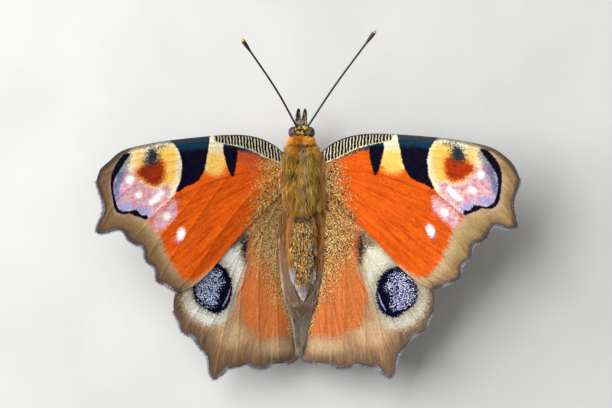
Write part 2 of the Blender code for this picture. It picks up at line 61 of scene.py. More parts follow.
def curveThrough(points, steps=6, closed=False):
    knots = np.array(points, float)
    if closed:
        knots = np.vstack([knots[-1:], knots, knots[:2]])
    else:
        knots = np.vstack([2 * knots[0] - knots[1], knots, 2 * knots[-1] - knots[-2]])
    curve = []
    for before, start, end, after in zip(knots, knots[1:], knots[2:], knots[3:]):
        for t in np.arange(steps) / steps:
            curve.append(0.5 * (2 * start + (end - before) * t
                                + (2 * before - 5 * start + 4 * end - after) * t ** 2
                                + (3 * start - before - 3 * end + after) * t ** 3))
    if not closed:
        curve.append(knots[-2])
    return np.array(curve)


def evenly(curve, count):
    lengths = np.concatenate([[0], np.cumsum(np.linalg.norm(np.diff(curve, axis=0), axis=1))])
    places = np.linspace(0, lengths[-1], count)
    return np.stack([np.interp(places, lengths, curve[:, axis]) for axis in range(curve.shape[1])], -1)


# Distance of every spot to a line of points, and how far along the line the nearest point is
def lineDistance(spots, line):
    best = np.full(len(spots), 1e9)
    place = np.zeros(len(spots))
    for index, (start, end) in enumerate(zip(line, line[1:])):
        along = end - start
        t = np.clip(((spots - start) @ along) / max(along @ along, 1e-12), 0, 1)
        distance = np.linalg.norm(spots - start - t[:, None] * along, axis=1)
        nearer = distance < best
        best[nearer] = distance[nearer]
        place[nearer] = (index + t[nearer]) / (len(line) - 1)
    return best, place


# Positive inside a closed shape, in millimetres from its edge
def shapeDepth(spots, points, smooth=True):
    loop = curveThrough(points, 4, closed=True) if smooth else np.array(points, float)
    loop = np.vstack([loop, loop[:1]])
    distance, _ = lineDistance(spots, loop)
    inside = np.zeros(len(spots), bool)
    for start, end in zip(loop, loop[1:]):
        crosses = (start[1] > spots[:, 1]) != (end[1] > spots[:, 1])
        rise = end[1] - start[1] if abs(end[1] - start[1]) > 1e-12 else 1e-12
        inside ^= crosses & (spots[:, 0] < start[0] + (end[0] - start[0]) * (spots[:, 1] - start[1]) / rise)
    return np.where(inside, distance, -distance)


def strokeDepth(spots, points, widths):
    line = curveThrough(points, 4)
    distance, place = lineDistance(spots, line)
    return np.interp(place, np.linspace(0, 1, len(widths)), widths) - distance


def spotDepth(spots, centre, radii, turn=0.0):
    angle = math.radians(turn)
    x = spots[:, 0] - centre[0]
    y = spots[:, 1] - centre[1]
    across = x * math.cos(angle) + y * math.sin(angle)
    over = y * math.cos(angle) - x * math.sin(angle)
    return (1 - np.hypot(across / radii[0], over / radii[1])) * min(radii)


def smoothStep(value, low, high):
    t = np.clip((value - low) / (high - low), 0, 1)
    return t * t * (3 - 2 * t)


# The body's own lines, as the solids have them

bodyShape = {"thoraxFront": -8.45, "thoraxRear": 0.55, "thoraxWidth": 2.75, "thoraxEnds": (2.0, 1.75),
             "abdomenFront": 0.85, "abdomenRear": 14.3, "abdomenWidth": 2.05}


def thoraxHalfWidth(back):
    length = bodyShape["thoraxRear"] - bodyShape["thoraxFront"]
    t = np.clip((back - bodyShape["thoraxFront"]) / length, 0, 1)
    front, rear = bodyShape["thoraxEnds"]
    ends = front + (rear - front) * t
    return ends + (bodyShape["thoraxWidth"] - ends) * np.sin(math.pi * t) ** 0.4


def abdomenHalfWidth(back):
    length = bodyShape["abdomenRear"] - bodyShape["abdomenFront"]
    t = np.clip((back - bodyShape["abdomenFront"]) / length, 0, 1)
    waist = 0.86 + 0.14 * np.minimum(1, t / 0.2)
    return bodyShape["abdomenWidth"] * waist * (1 - t ** 5) ** 0.8


# Wings

wingShape = {"rootHeight": 8.2, "hinge": 2.6, "length": 28.5, "rise": math.tan(math.radians(11.0)),
             "arch": 0.6, "hindStep": 1.25, "foldDepth": 0.85, "foldWidth": 2.2, "close": (0.3, 0.58),
             "trimReach": 1.6, "thickness": 0.13, "veinLift": 0.055, "pleat": 0.07,
             "rows": 168, "columns": 176, "smoothing": 14, "edge": (0.13, 0.07), "veinWidth": 0.17}

foreWing = {
    "costa": [(2.1, -7.3), (2.9, -8.0), (4.2, -9.1), (5.6, -9.85), (7.1, -10.35), (9.3, -10.7),
              (12.5, -10.7), (17.0, -10.4), (21.5, -9.95), (25.0, -9.35), (27.6, -8.7), (29.3, -7.7),
              (30.7, -6.4), (31.5, -5.1), (31.9, -4.0)],
    "teeth": [(31.9, -4.0), (31.4, 3.2), (26.6, 5.0), (24.65, 7.8), (23.0, 10.9), (19.6, 12.6)],
    "notches": [(0.6, 1.0), (1.25, 1.4), (0.75, 1.0), (0.6, 1.0), (0.1, 1.0)],
    "middle": (20, -2),
    "sweep": {"left": 1.75, "right": 0.0},
    # Where the left wing's outer edge is drawn in, and by how much
    "trim": {"left": [(29.5, -7.5, -0.35, 0.35), (31.7, -4.3, -0.9, -0.5), (31.3, -0.5, -1.0, 0.0),
                      (31.4, 3.2, -0.2, -0.15), (29.0, 3.9, -0.1, -0.3), (26.6, 5.0, -0.55, -0.4),
                      (24.65, 7.8, -0.6, -0.4), (23.0, 10.9, -0.5, -0.35), (19.6, 12.6, -0.15, -0.2)],
             "right": []},
    "inner": [(2.1, -2.2), (3.0, -2.5), (5.6, 0.2), (8.8, 3.3), (11.9, 6.5), (14.4, 9.3), (16.5, 11.1),
              (18.3, 12.2), (19.6, 12.6)],
    "veins": {
        "subcosta": [(3.0, -7.0), (8.5, -9.3), (13.5, -9.6), (18.0, -9.7)],
        "radius": [(2.6, -6.6), (9.0, -8.4), (14.0, -8.9), (18.2, -8.3), (23.0, -7.7), (27.5, -6.8),
                   (30.9, -5.0)],
        "radius1": [(13.0, -8.85), (17.0, -9.1), (21.5, -9.35)],
        "radius3": [(20.6, -8.0), (24.5, -8.4), (27.3, -8.1)],
        "media1": [(18.2, -8.3), (19.0, -7.2), (24.0, -6.6), (28.5, -5.2), (31.3, -3.7)],
        "media2": [(18.9, -5.9), (22.5, -4.6), (26.3, -3.2), (29.6, -0.2), (30.9, 2.7)],
        "cubitus": [(2.6, -5.6), (8.0, -5.2), (12.5, -4.3), (16.0, -3.0), (19.0, -1.7), (22.6, 1.0),
                    (26.1, 4.5)],
        "cellEnd": [(19.0, -7.2), (18.9, -5.9), (18.6, -1.9)],
        "cubitus1": [(15.2, -3.35), (18.2, 0.0), (21.6, 3.9), (24.2, 7.3)],
        "cubitus2": [(11.2, -4.7), (14.6, -0.6), (18.6, 4.9), (22.5, 10.4)],
        "anal": [(2.6, -4.9), (8.0, -1.7), (12.5, 3.4), (16.6, 9.0), (19.4, 12.0)]},
}

hindWing = {
    "costa": [(2.1, -2.6), (3.25, -3.0), (6.0, -1.0), (10.9, 3.2), (15.5, 8.2), (18.2, 11.4),
              (19.2, 12.9), (19.5, 14.3), (19.45, 15.6)],
    "teeth": [(19.45, 15.6), (18.1, 18.7), (15.5, 20.8), (13.8, 25.1), (12.5, 25.4), (9.8, 23.95),
              (6.9, 24.3), (5.6, 24.4), (1.1, 23.55)],
    "notches": [(0.1, 1.0), (0.3, 1.0), (0.5, 0.85), (-0.6, 1.0), (0.35, 1.1), (0.4, 1.0), (-0.1, 1.0),
                (0.3, 0.75)],
    "tail": [(1.1, 23.55), (0.4, 23.2), (0.1, 22.2)],
    "middle": (10, 14),
    "sweep": {"left": 0.0, "right": 0.0},
    "trim": {"left": [], "right": []},
    "inner": [(0.1, 22.2), (0.03, 20.0), (0.03, 17.5), (0.05, 15.2)],
    "veins": {
        "radius": [(3.0, -2.2), (8.5, 2.4), (12.5, 7.3), (16.5, 12.0), (19.0, 15.3)],
        "radialSector": [(3.0, -1.7), (7.0, 3.0), (9.5, 7.0), (13.5, 12.0), (17.6, 18.3)],
        "media2": [(9.5, 7.0), (12.0, 14.0), (15.1, 20.3)],
        "media3": [(3.0, -1.2), (6.4, 4.5), (8.8, 9.0), (11.2, 16.0), (13.1, 25.1)],
        "cubitus1": [(7.9, 7.4), (9.3, 13.5), (9.7, 23.4)],
        "cubitus2": [(5.7, 3.2), (6.6, 10.5), (6.3, 23.9)],
        "anal2": [(3.0, 0.4), (3.7, 5.5), (3.7, 14.0), (3.2, 23.0)]},
}


def sheetHeight(out, back):
    s = (out - wingShape["hinge"]) / wingShape["length"]
    height = wingShape["rootHeight"] + wingShape["rise"] * (out - wingShape["hinge"])
    height = height + wingShape["arch"] * 4 * s * (1 - s)
    frontDroop = 0.45 * (np.maximum(0, -5 - back) / 5.7) ** 2
    rearDroop = 0.02 * np.maximum(0, back - 8) ** 1.5
    return height - frontDroop - rearDroop


# The two wings close up on each other where the forewing's rear edge lies over the hindwing
def nearRearEdge(out, back, reach):
    spots = np.stack([np.asarray(out, float), np.asarray(back, float)], -1)
    distance, _ = lineDistance(spots, curveThrough(foreWing["inner"], 3))
    return np.exp(-(distance / reach) ** 2)


def foreHeight(out, back):
    return sheetHeight(out, back) - wingShape["close"][0] * nearRearEdge(out, back, 1.4)


def hindHeight(out, back):
    start = smoothStep(back, 0, 4)
    inner = np.where(back > bodyShape["abdomenFront"], abdomenHalfWidth(back), thoraxHalfWidth(back))
    away = np.maximum(0, out - inner) / wingShape["foldWidth"]
    fold = wingShape["foldDepth"] * start * np.exp(-away ** 2)
    raised = wingShape["close"][1] * nearRearEdge(out, back, 2.2)
    return sheetHeight(out, back) - wingShape["hindStep"] - fold + raised


def scallopedMargin(wing):
    margin = []
    for start, end, (depth, lean) in zip(wing["teeth"], wing["teeth"][1:], wing["notches"]):
        start, end = np.array(start), np.array(end)
        along = end - start
        inward = np.array([-along[1], along[0]]) / np.linalg.norm(along)
        if inward @ (np.array(wing["middle"]) - start) < 0:
            inward = -inward
        for t in np.arange(24) / 24:
            scoop = depth * (0.5 - 0.5 * math.cos(2 * math.pi * t ** lean))
            margin.append(start + along * t + inward * scoop)
    return np.array(margin + [np.array(wing["teeth"][-1], float)])


def wingSides(wing):
    costa = curveThrough(wing["costa"], 10)
    margin = scallopedMargin(wing)
    if "tail" in wing:
        margin = np.vstack([margin[:-1], curveThrough(wing["tail"], 8)])
        back = np.linspace(0.6, 14.6, 60)
        flank = np.stack([np.maximum(abdomenHalfWidth(back) - 0.3, 0.05), back], -1)
        inner = np.vstack([[(1.6, 0.2)], flank, curveThrough(wing["inner"][::-1], 8)])
    else:
        inner = curveThrough(wing["inner"], 10)
    return costa, margin, inner


# Fills the four sides of a wing with an even net of points
def wingNet(wing, rows, columns):
    costa, margin, inner = wingSides(wing)
    s = np.linspace(0, 1, rows)[:, None, None]
    t = np.linspace(0, 1, columns)[None, :, None]
    front = evenly(costa, rows)[:, None, :]
    rear = evenly(inner, rows)[:, None, :]
    tip = evenly(margin, columns)[None, :, :]
    root = evenly(np.array([costa[0], inner[0]]), columns)[None, :, :]
    corners = ((1 - s) * ((1 - t) * costa[0] + t * inner[0]) + s * ((1 - t) * costa[-1] + t * inner[-1]))
    return (1 - t) * front + t * rear + (1 - s) * root + s * tip - corners


def veinLines(wing):
    return [curveThrough(line, 6) for line in wing["veins"].values()]


def layWing(spots, wing, sideName):
    angle = math.radians(wing["sweep"][sideName])
    pivot = np.array([wingShape["hinge"], -4.0])
    trim = np.array(wing["trim"][sideName]).reshape(-1, 4)
    apart = ((spots[:, None] - trim[:, :2]) ** 2).sum(-1)
    near = np.exp(-apart / (2 * wingShape["trimReach"] ** 2))
    arm = spots + near @ trim[:, 2:] / np.maximum(1, near.sum(-1, keepdims=True)) - pivot
    return pivot + np.stack([arm[:, 0] * math.cos(angle) - arm[:, 1] * math.sin(angle),
                             arm[:, 0] * math.sin(angle) + arm[:, 1] * math.cos(angle)], -1)


# Markings of a wing seen from above: how far out from the body's middle and how far back, in millimetres

foreMarks = {
    "bigPatch": [(14.0, -10.4), (14.2, -8.9), (14.6, -6.8), (14.9, -5.6), (15.5, -4.6), (16.0, -4.0),
                 (17.0, -3.5), (18.0, -3.1), (18.9, -2.5), (19.3, -2.6), (18.9, -3.5), (18.5, -4.4),
                 (18.4, -5.6), (18.3, -6.8), (18.5, -7.7), (18.8, -8.7), (19.4, -9.6), (20.0, -10.3),
                 (18.8, -11.2), (14.4, -11.2)],
    "firstBar": [(10.0, -9.1), (10.9, -9.35), (11.9, -9.3), (12.0, -8.4), (11.7, -7.1), (11.4, -5.9),
                 (11.1, -5.0), (10.7, -4.4), (10.3, -5.3), (10.0, -6.5), (9.8, -8.0)],
    "creamPatch": [(12.0, -9.3), (12.4, -10.1), (12.6, -11.4), (14.2, -11.4), (14.1, -9.6), (14.5, -7.8),
                   (15.0, -5.7), (14.4, -5.7), (13.4, -6.2), (12.6, -6.6), (12.0, -7.2), (12.1, -8.4)],
    "ring": [(18.8, -9.0), (19.6, -9.8), (20.8, -10.2), (22.5, -9.9), (25.0, -9.2), (26.1, -8.5),
             (27.1, -7.2), (28.0, -6.0), (28.4, -4.5), (28.6, -3.1), (28.4, -1.6), (28.2, -0.4),
             (27.3, 0.1), (26.1, 0.1), (24.6, 0.7), (23.7, 1.1), (23.0, 0.8), (22.0, -0.1),
             (20.9, -1.0), (19.9, -1.9), (19.2, -2.9), (18.7, -4.3), (18.4, -5.6), (18.3, -6.8),
             (18.5, -8.0)],
    "yellow": [(19.3, -8.4), (20.4, -9.0), (21.7, -8.7), (22.2, -7.2), (21.8, -5.2), (21.1, -3.9),
               (20.1, -3.5), (19.5, -4.7), (19.2, -6.5)],
    "pink": [(20.3, -3.6), (21.7, -3.1), (22.8, -3.1), (23.9, -3.7), (24.6, -4.7), (25.2, -5.6),
             (26.4, -5.7), (27.3, -5.6), (28.2, -4.2), (28.6, -2.3), (28.3, -0.4), (27.3, 0.1),
             (26.1, 0.1), (24.6, 0.7), (23.7, 1.1), (22.8, 0.5), (21.7, -0.4), (20.8, -1.1),
             (20.1, -2.3)],
    "pinkPatch": [(19.3, -1.4), (20.5, -0.8), (21.7, 0.1), (22.6, 1.0), (22.9, 2.0), (22.8, 3.0),
                  (22.0, 3.2), (21.1, 2.6), (19.9, 1.6), (19.3, 0.7), (19.2, -0.4)],
    "rust": [(21.1, -7.2), (22.4, -7.3), (23.6, -6.9), (24.6, -6.3), (25.2, -5.6), (24.8, -4.8),
             (24.0, -4.2), (23.3, -3.7), (22.1, -3.5), (21.2, -4.1), (20.8, -5.3), (20.8, -6.5)],
    "smudge": [(21.9, -8.5), (22.6, -9.0), (23.2, -8.8), (23.6, -7.8), (23.9, -6.9), (23.0, -6.4),
               (22.1, -6.8), (21.7, -7.5)],
    "field": [(24.6, -9.8), (26.0, -8.8), (27.4, -7.3), (28.3, -5.9), (28.7, -4.5), (28.8, -2.8),
              (28.5, -1.1), (28.0, -0.1), (27.2, 0.15), (26.1, 0.5), (24.9, 1.0), (23.9, 1.4), (23.1, 2.7),
              (22.1, 4.1), (21.7, 5.6), (21.2, 6.8), (20.6, 8.0), (19.9, 9.2), (19.2, 10.2), (18.5, 10.8),
              (17.3, 11.0), (16.3, 10.7), (15.2, 10.0), (9.0, 6.0), (0, 4.0), (0, -14), (23.9, -14)],
    "basal": [(0, -12), (5.2, -9.6), (5.9, -7.6), (6.3, -5.0), (6.9, -2.6), (7.4, -0.6), (7.6, 0.9),
              (8.6, 3.2), (0, 3.0)],
}
hindMarks = {
    "eyeShift": {"left": (0.4, 0.7), "right": (0.0, 0.0)},
    "egg": [(14.0, 9.1), (12.8, 9.5), (11.8, 10.4), (11.2, 11.6), (11.0, 13.0), (11.1, 14.3),
            (11.5, 15.5), (12.3, 16.3), (13.3, 16.8), (14.3, 16.6), (15.3, 16.0), (16.4, 15.2),
            (17.0, 14.0), (17.1, 12.7), (16.6, 11.5), (15.9, 10.3), (15.0, 9.4)],
    "frost": [(14.3, 9.9), (15.3, 10.3), (16.1, 11.2), (16.5, 12.4), (16.5, 13.7), (15.9, 14.8),
              (15.0, 15.4), (14.2, 15.6), (13.4, 15.3), (13.3, 14.3), (13.1, 13.3), (12.4, 12.4),
              (12.7, 11.2), (13.4, 10.3)],
    "cream": [(9.0, 2.5), (10.4, 4.6), (12.3, 6.7), (14.8, 8.9), (16.7, 10.5), (18.1, 11.8),
              (18.7, 13.7), (18.6, 15.2), (17.9, 16.7), (16.6, 17.9), (14.9, 18.7), (13.2, 18.8),
              (11.9, 18.1), (11.1, 16.9), (10.4, 15.4), (9.9, 13.9), (9.5, 12.4), (9.1, 10.6),
              (8.8, 8.5), (8.7, 6.4), (8.5, 4.4)],
    "tanField": [(0.0, 19.0), (2.6, 19.4), (4.4, 19.8), (5.9, 19.5), (7.3, 18.7), (8.5, 18.0),
                 (9.0, 16.9), (9.1, 15.4), (9.75, 14.4), (9.5, 13.0), (9.0, 12.0), (8.4, 10.9),
                 (7.9, 9.6), (8.2, 7.0), (9.6, 3.0), (22.0, 9.0), (22, 27), (0, 27)],
    "inner": [(-1.0, -3), (2.6, 1.0), (3.4, 2.6), (3.7, 5.4), (3.7, 8.4), (3.4, 11.2), (2.9, 13.0),
              (2.4, 15.0), (1.8, 17.2), (1.3, 19.1), (1.2, 24.5), (-1.0, 26)],
    "basal": [(0, -4), (3.0, -4), (6.0, -1.6), (8.6, 1.4), (9.2, 4.2), (8.7, 6.4), (7.9, 8.2),
              (6.1, 9.8), (4.9, 12.1), (4.3, 14.4), (0, 14.0)],
}


def largest(*depths):
    return np.max(np.stack(depths), axis=0)


# Every mark as a depth in millimetres, for the material to sharpen into scales
def foreMarkDepths(spots, rim, sideName):
    marks = foreMarks
    depths = {"field": shapeDepth(spots, marks["field"], smooth=False),
              "basal": shapeDepth(spots, marks["basal"], smooth=False),
              "cream": largest(shapeDepth(spots, marks["ring"]), shapeDepth(spots, marks["creamPatch"])),
              "pink": largest(shapeDepth(spots, marks["pink"]), shapeDepth(spots, marks["pinkPatch"])),
              "rust": shapeDepth(spots, marks["rust"]),
              "smudge": largest(shapeDepth(spots, marks["smudge"]),
                                strokeDepth(spots, [(20.9, -9.3), (21.9, -9.0), (22.7, -8.6)], [0.02, 0.2]))}
    lowCream = spotDepth(spots, (13.3, -6.6), (1.5, 1.5)) * 0.8
    farSide = spotDepth(spots, (24.4, -6.9), (0.45, 0.9), 20) * 0.5
    depths["yellow"] = largest(shapeDepth(spots, marks["yellow"]), np.minimum(lowCream, 0.35), farSide)
    crescent = strokeDepth(spots, [(26.0, -8.35), (26.8, -7.9), (27.7, -6.9), (28.5, -5.6), (28.95, -4.2),
                                   (28.95, -2.9), (28.75, -1.6), (28.4, -0.4), (27.6, 0.25), (26.6, 0.35)],
                           [0.14, 0.46, 0.58, 0.50, 0.33, 0.26, 0.29, 0.35, 0.26, 0.2])
    blobs = strokeDepth(spots, [(26.5, 0.2), (25.4, 0.4), (24.7, 0.85), (23.9, 1.1)], [0.12, 0.5, 0.25, 0.35])
    depths["smear"] = strokeDepth(spots, [(26.0, -7.9), (26.7, -7.2), (27.3, -6.1), (27.8, -4.8),
                                          (28.2, -3.4), (28.3, -2.0)], [0.3, 0.75, 0.85, 0.7, 0.45, 0.3])
    depths["patches"] = largest(shapeDepth(spots, marks["bigPatch"]), shapeDepth(spots, marks["firstBar"]))
    depths["black"] = largest(depths["patches"], crescent, blobs)
    depths["lavender"] = largest(spotDepth(spots, (28.3, -2.8), (0.65, 1.4)),
                                 spotDepth(spots, (27.85, -5.3), (0.6, 1.2), 20),
                                 spotDepth(spots, (27.1, -0.5), (1.05, 0.6)),
                                 spotDepth(spots, (24.2, 0.3), (0.9, 0.5), -25))
    depths["lavender"] = np.minimum(depths["lavender"], shapeDepth(spots, marks["ring"]) + 0.3)
    depths["lavender"] = largest(depths["lavender"], spotDepth(spots, (19.15, 4.35), (0.3, 0.34)) - 0.25)
    depths["white"] = largest(spotDepth(spots, (26.1, -4.5), (0.5, 0.58)),
                              spotDepth(spots, (24.9, -2.2), (0.55, 0.4), 35),
                              strokeDepth(spots, [(21.5, -2.4), (22.3, -1.6), (23.1, -1.0)],
                                          [0.34, 0.42, 0.28]),
                              spotDepth(spots, (20.8, 1.0), (0.55, 0.45), 40),
                              spotDepth(spots, (18.75, 3.7), (0.5, 0.75), -20))
    strip = [(2.4, -6.2), (3.6, -6.5), (5.6, -7.35), (7.1, -8.1), (8.5, -8.7), (10.0, -9.1), (11.8, -9.45),
             (13.2, -9.7)]
    stripLine = curveThrough(strip, 6)
    depths["strip"] = shapeDepth(spots, strip + [(13.4, -11.6), (8.0, -11.6), (4.0, -10.6), (1.0, -8.0)],
                                 smooth=False)
    distance, _ = lineDistance(spots, stripLine)
    depths["bars"] = (spots[:, 0] + 0.07 * spots[:, 1]) / 0.46
    depths["creamLine"] = 0.075 - distance
    below = np.interp(spots[:, 0], [2.5, 6.0, 8.5, 9.8, 12.2, 12.6], [0.25, 0.4, 0.55, 0.8, 0.5, -1])
    depths["underLine"] = below + depths["strip"]
    below = np.interp(spots[:, 0], [4.5, 6.5, 9.5, 12.0], [0.5, 2.6, 2.4, 0.5])
    depths["ruddy"] = below + depths["strip"]
    depths["costaLine"] = np.interp(spots[:, 0], [2.0, 5.0, 12.5, 14.0], [0.12, 0.16, 0.13, -0.5]) - rim
    depths["costalGrey"] = np.interp(spots[:, 0], [13.8, 14.0, 18.8, 20.5, 24, 27, 40],
                                     [-1, 0.8, 0.8, 0.36, 0.5, 0.6, 0.35])
    depths["costalGrey"] = depths["costalGrey"] - rim
    return depths


def hindMarkDepths(spots, rim, sideName):
    marks = hindMarks
    eye = spots + marks["eyeShift"][sideName]
    depths = {"basal": shapeDepth(spots, marks["basal"], smooth=False),
              "cream": shapeDepth(eye, marks["cream"]),
              "tan": shapeDepth(spots, marks["tanField"], smooth=False),
              "inner": shapeDepth(spots, marks["inner"], smooth=False),
              "black": shapeDepth(eye, marks["egg"]),
              "frost": shapeDepth(eye, marks["frost"]),
              "smudge": strokeDepth(spots, [(8.75, 5.0), (8.8, 6.4), (8.65, 8.4)], [0.45, 0.62, 0.2]),
              "umber": strokeDepth(spots, [(9.0, 4.4), (9.7, 5.3), (10.5, 5.9)], [0.85, 0.85, 0.4]),
              "white": strokeDepth(eye, [(11.35, 13.1), (11.8, 14.5), (12.5, 15.8)], [0.05, 0.10, 0.05]),
              "redEdge": strokeDepth(spots, [(7.5, 9.7), (8.4, 11.0), (9.1, 12.2), (9.75, 13.3),
                                             (10.0, 14.2)], [0.02, 0.1, 0.14, 0.1, 0.02])}
    line, _ = lineDistance(spots, curveThrough([(3.4, 1.6), (3.7, 4.6), (3.7, 8.2), (3.4, 11.2), (2.9, 13.0),
                                                (2.4, 15.0), (1.8, 17.2), (1.4, 19.4)], 5))
    depths["paleLine"] = 0.32 - line
    depths["pale"] = largest(spotDepth(spots, (10.6, 19.2), (2.4, 1.9)),
                             spotDepth(spots, (3.6, 21.2), (2.8, 1.2)))
    return depths


# Node helpers

# A colour of three numbers gets its fourth here, so the lists of colours need only three
def rgb(colour):
    return (*colour, 1.0)


def addNode(tree, kind, settings=None, **values):
    item = tree.nodes.new("ShaderNode" + kind)
    for name, value in (settings or {}).items():
        setattr(item, name, value)
    for name, value in values.items():
        socket = item.inputs[int(name[1:])] if name[0] == "i" and name[1:].isdigit() else item.inputs[name]
        if isinstance(value, bpy.types.NodeSocket):
            tree.links.new(value, socket)
        else:
            socket.default_value = rgb(value) if socket.type == "RGBA" and len(value) == 3 else value
    return item


def math2(tree, operation, first, second=0.0):
    return addNode(tree, "Math", {"operation": operation}, i0=first, i1=second).outputs[0]


def times(tree, first, *others):
    for other in others:
        first = math2(tree, "MULTIPLY", first, other)
    return first


def plus(tree, first, *others):
    for other in others:
        first = math2(tree, "ADD", first, other)
    return first


def minus(tree, first, second):
    return math2(tree, "SUBTRACT", first, second)


def moreThan(tree, value, limit):
    return math2(tree, "GREATER_THAN", value, limit)


def lessThan(tree, value, limit):
    return math2(tree, "LESS_THAN", value, limit)


def between(tree, value, low, high):
    item = addNode(tree, "MapRange", {"interpolation_type": "SMOOTHSTEP"}, Value=value, i1=low, i2=high)
    return item.outputs[0]


# A value's place between two limits, without the soft ends that between has
def spread(tree, value, low, high, first=0.0, last=1.0):
    return addNode(tree, "MapRange", Value=value, i1=low, i2=high, i3=first, i4=last).outputs[0]


def noiseOf(tree, place, scale, detail=2.0, rough=0.5):
    return addNode(tree, "TexNoise", Vector=place, Scale=scale, Detail=detail, Roughness=rough).outputs["Fac"]


# Darkens or brightens a colour while a value runs from 0 to reach
def toneBy(tree, colour, value, low, high, reach=1.0):
    tone = spread(tree, value, 0.0, reach, low, high)
    grey = addNode(tree, "CombineColor", i0=tone, i1=tone, i2=tone)
    return colourMix(tree, 1.0, colour, grey.outputs[0], "MULTIPLY")


def paint(tree, shader, colour, height=None, strength=0.35, depth=0.04):
    tree.links.new(colour, shader.inputs["Base Color"])
    if height is not None:
        bump = addNode(tree, "Bump", Strength=strength, Distance=depth * mm, Height=height)
        tree.links.new(bump.outputs[0], shader.inputs["Normal"])


def colourMix(tree, share, under, over, blend="MIX"):
    item = addNode(tree, "Mix", {"data_type": "RGBA", "blend_type": blend}, i0=share, i6=under, i7=over)
    return item.outputs[2]


def attributeOf(tree, name, output="Fac"):
    return addNode(tree, "Attribute", {"attribute_name": name}).outputs[output]


def newGroup(name, inputs, outputs):
    group = bpy.data.node_groups.new(name, "ShaderNodeTree")
    for label, kind, value in inputs:
        socket = group.interface.new_socket(label, in_out="INPUT", socket_type="NodeSocket" + kind)
        if value is not None:
            socket.default_value = value
    for label, kind in outputs:
        group.interface.new_socket(label, in_out="OUTPUT", socket_type="NodeSocket" + kind)
    return group, group.nodes.new("NodeGroupInput").outputs, group.nodes.new("NodeGroupOutput").inputs


# Soft streaks that fan out from the root of a wing to its margin
def makeStreakGroup():
    group, given, result = newGroup("wingStreaks", [("Fan", "Float", 0.0), ("Reach", "Float", 0.0),
                                                    ("Count", "Float", 60.0)], [("Streak", "Float")])
    across = times(group, given["Fan"], given["Count"])
    outward = times(group, given["Reach"], 4.0)
    spot = addNode(group, "CombineXYZ", X=across, Y=outward).outputs[0]
    noise = noiseOf(group, spot, 1.0, 4.0, 0.65)
    group.links.new(spread(group, noise, 0.3, 0.7), result["Streak"])
    return group


# Overlapping scales: a random shade for each, and their domed shape
def makeScaleGroup():
    group, given, result = newGroup("wingScales", [("Vector", "Vector", None), ("Size", "Float", 0.16)],
                                    [("Shade", "Float"), ("Second", "Float"), ("Height", "Float"),
                                     ("Cloud", "Float")])
    density = math2(group, "DIVIDE", 1 / mm, given["Size"])
    cells = addNode(group, "TexVoronoi", Vector=given["Vector"], Scale=density, Randomness=1.0)
    split = addNode(group, "SeparateColor", Color=cells.outputs["Color"])
    group.links.new(split.outputs[0], result["Shade"])
    group.links.new(split.outputs[1], result["Second"])
    group.links.new(minus(group, 1.0, cells.outputs["Distance"]), result["Height"])
    group.links.new(noiseOf(group, given["Vector"], 900.0, 3.0, 0.6), result["Cloud"])
    return group


# Turns a depth in millimetres into a mask whose edge follows the scales
def makeEdgeGroup():
    group, given, result = newGroup("scaleEdge", [("Depth", "Float", 0.0), ("Shade", "Float", 0.5),
                                                  ("Cloud", "Float", 0.5), ("Grit", "Float", 0.2),
                                                  ("Soft", "Float", 0.1)], [("Mask", "Float")])
    wander = times(group, minus(group, given["Shade"], 0.5), given["Grit"])
    drift = times(group, minus(group, given["Cloud"], 0.5), given["Grit"])
    depth = plus(group, given["Depth"], plus(group, wander, drift))
    low = times(group, given["Soft"], -1.0)
    group.links.new(between(group, depth, low, given["Soft"]), result["Mask"])
    return group


def placeGroup(tree, group, **values):
    return addNode(tree, "Group", {"node_tree": group}, **values)


scaleGroup = makeScaleGroup()
streakGroup = makeStreakGroup()
edgeGroup = makeEdgeGroup()


def newMaterial(name, roughness, specular=0.3, sheen=0.0):
    material = bpy.data.materials.new(name)
    material.use_nodes = True
    tree = material.node_tree
    shader = tree.nodes["Principled BSDF"]
    shader.inputs["Roughness"].default_value = roughness
    shader.inputs["Specular IOR Level"].default_value = specular
    shader.inputs["Sheen Weight"].default_value = sheen
    place = addNode(tree, "TexCoord").outputs["Object"]
    return material, tree, shader, place


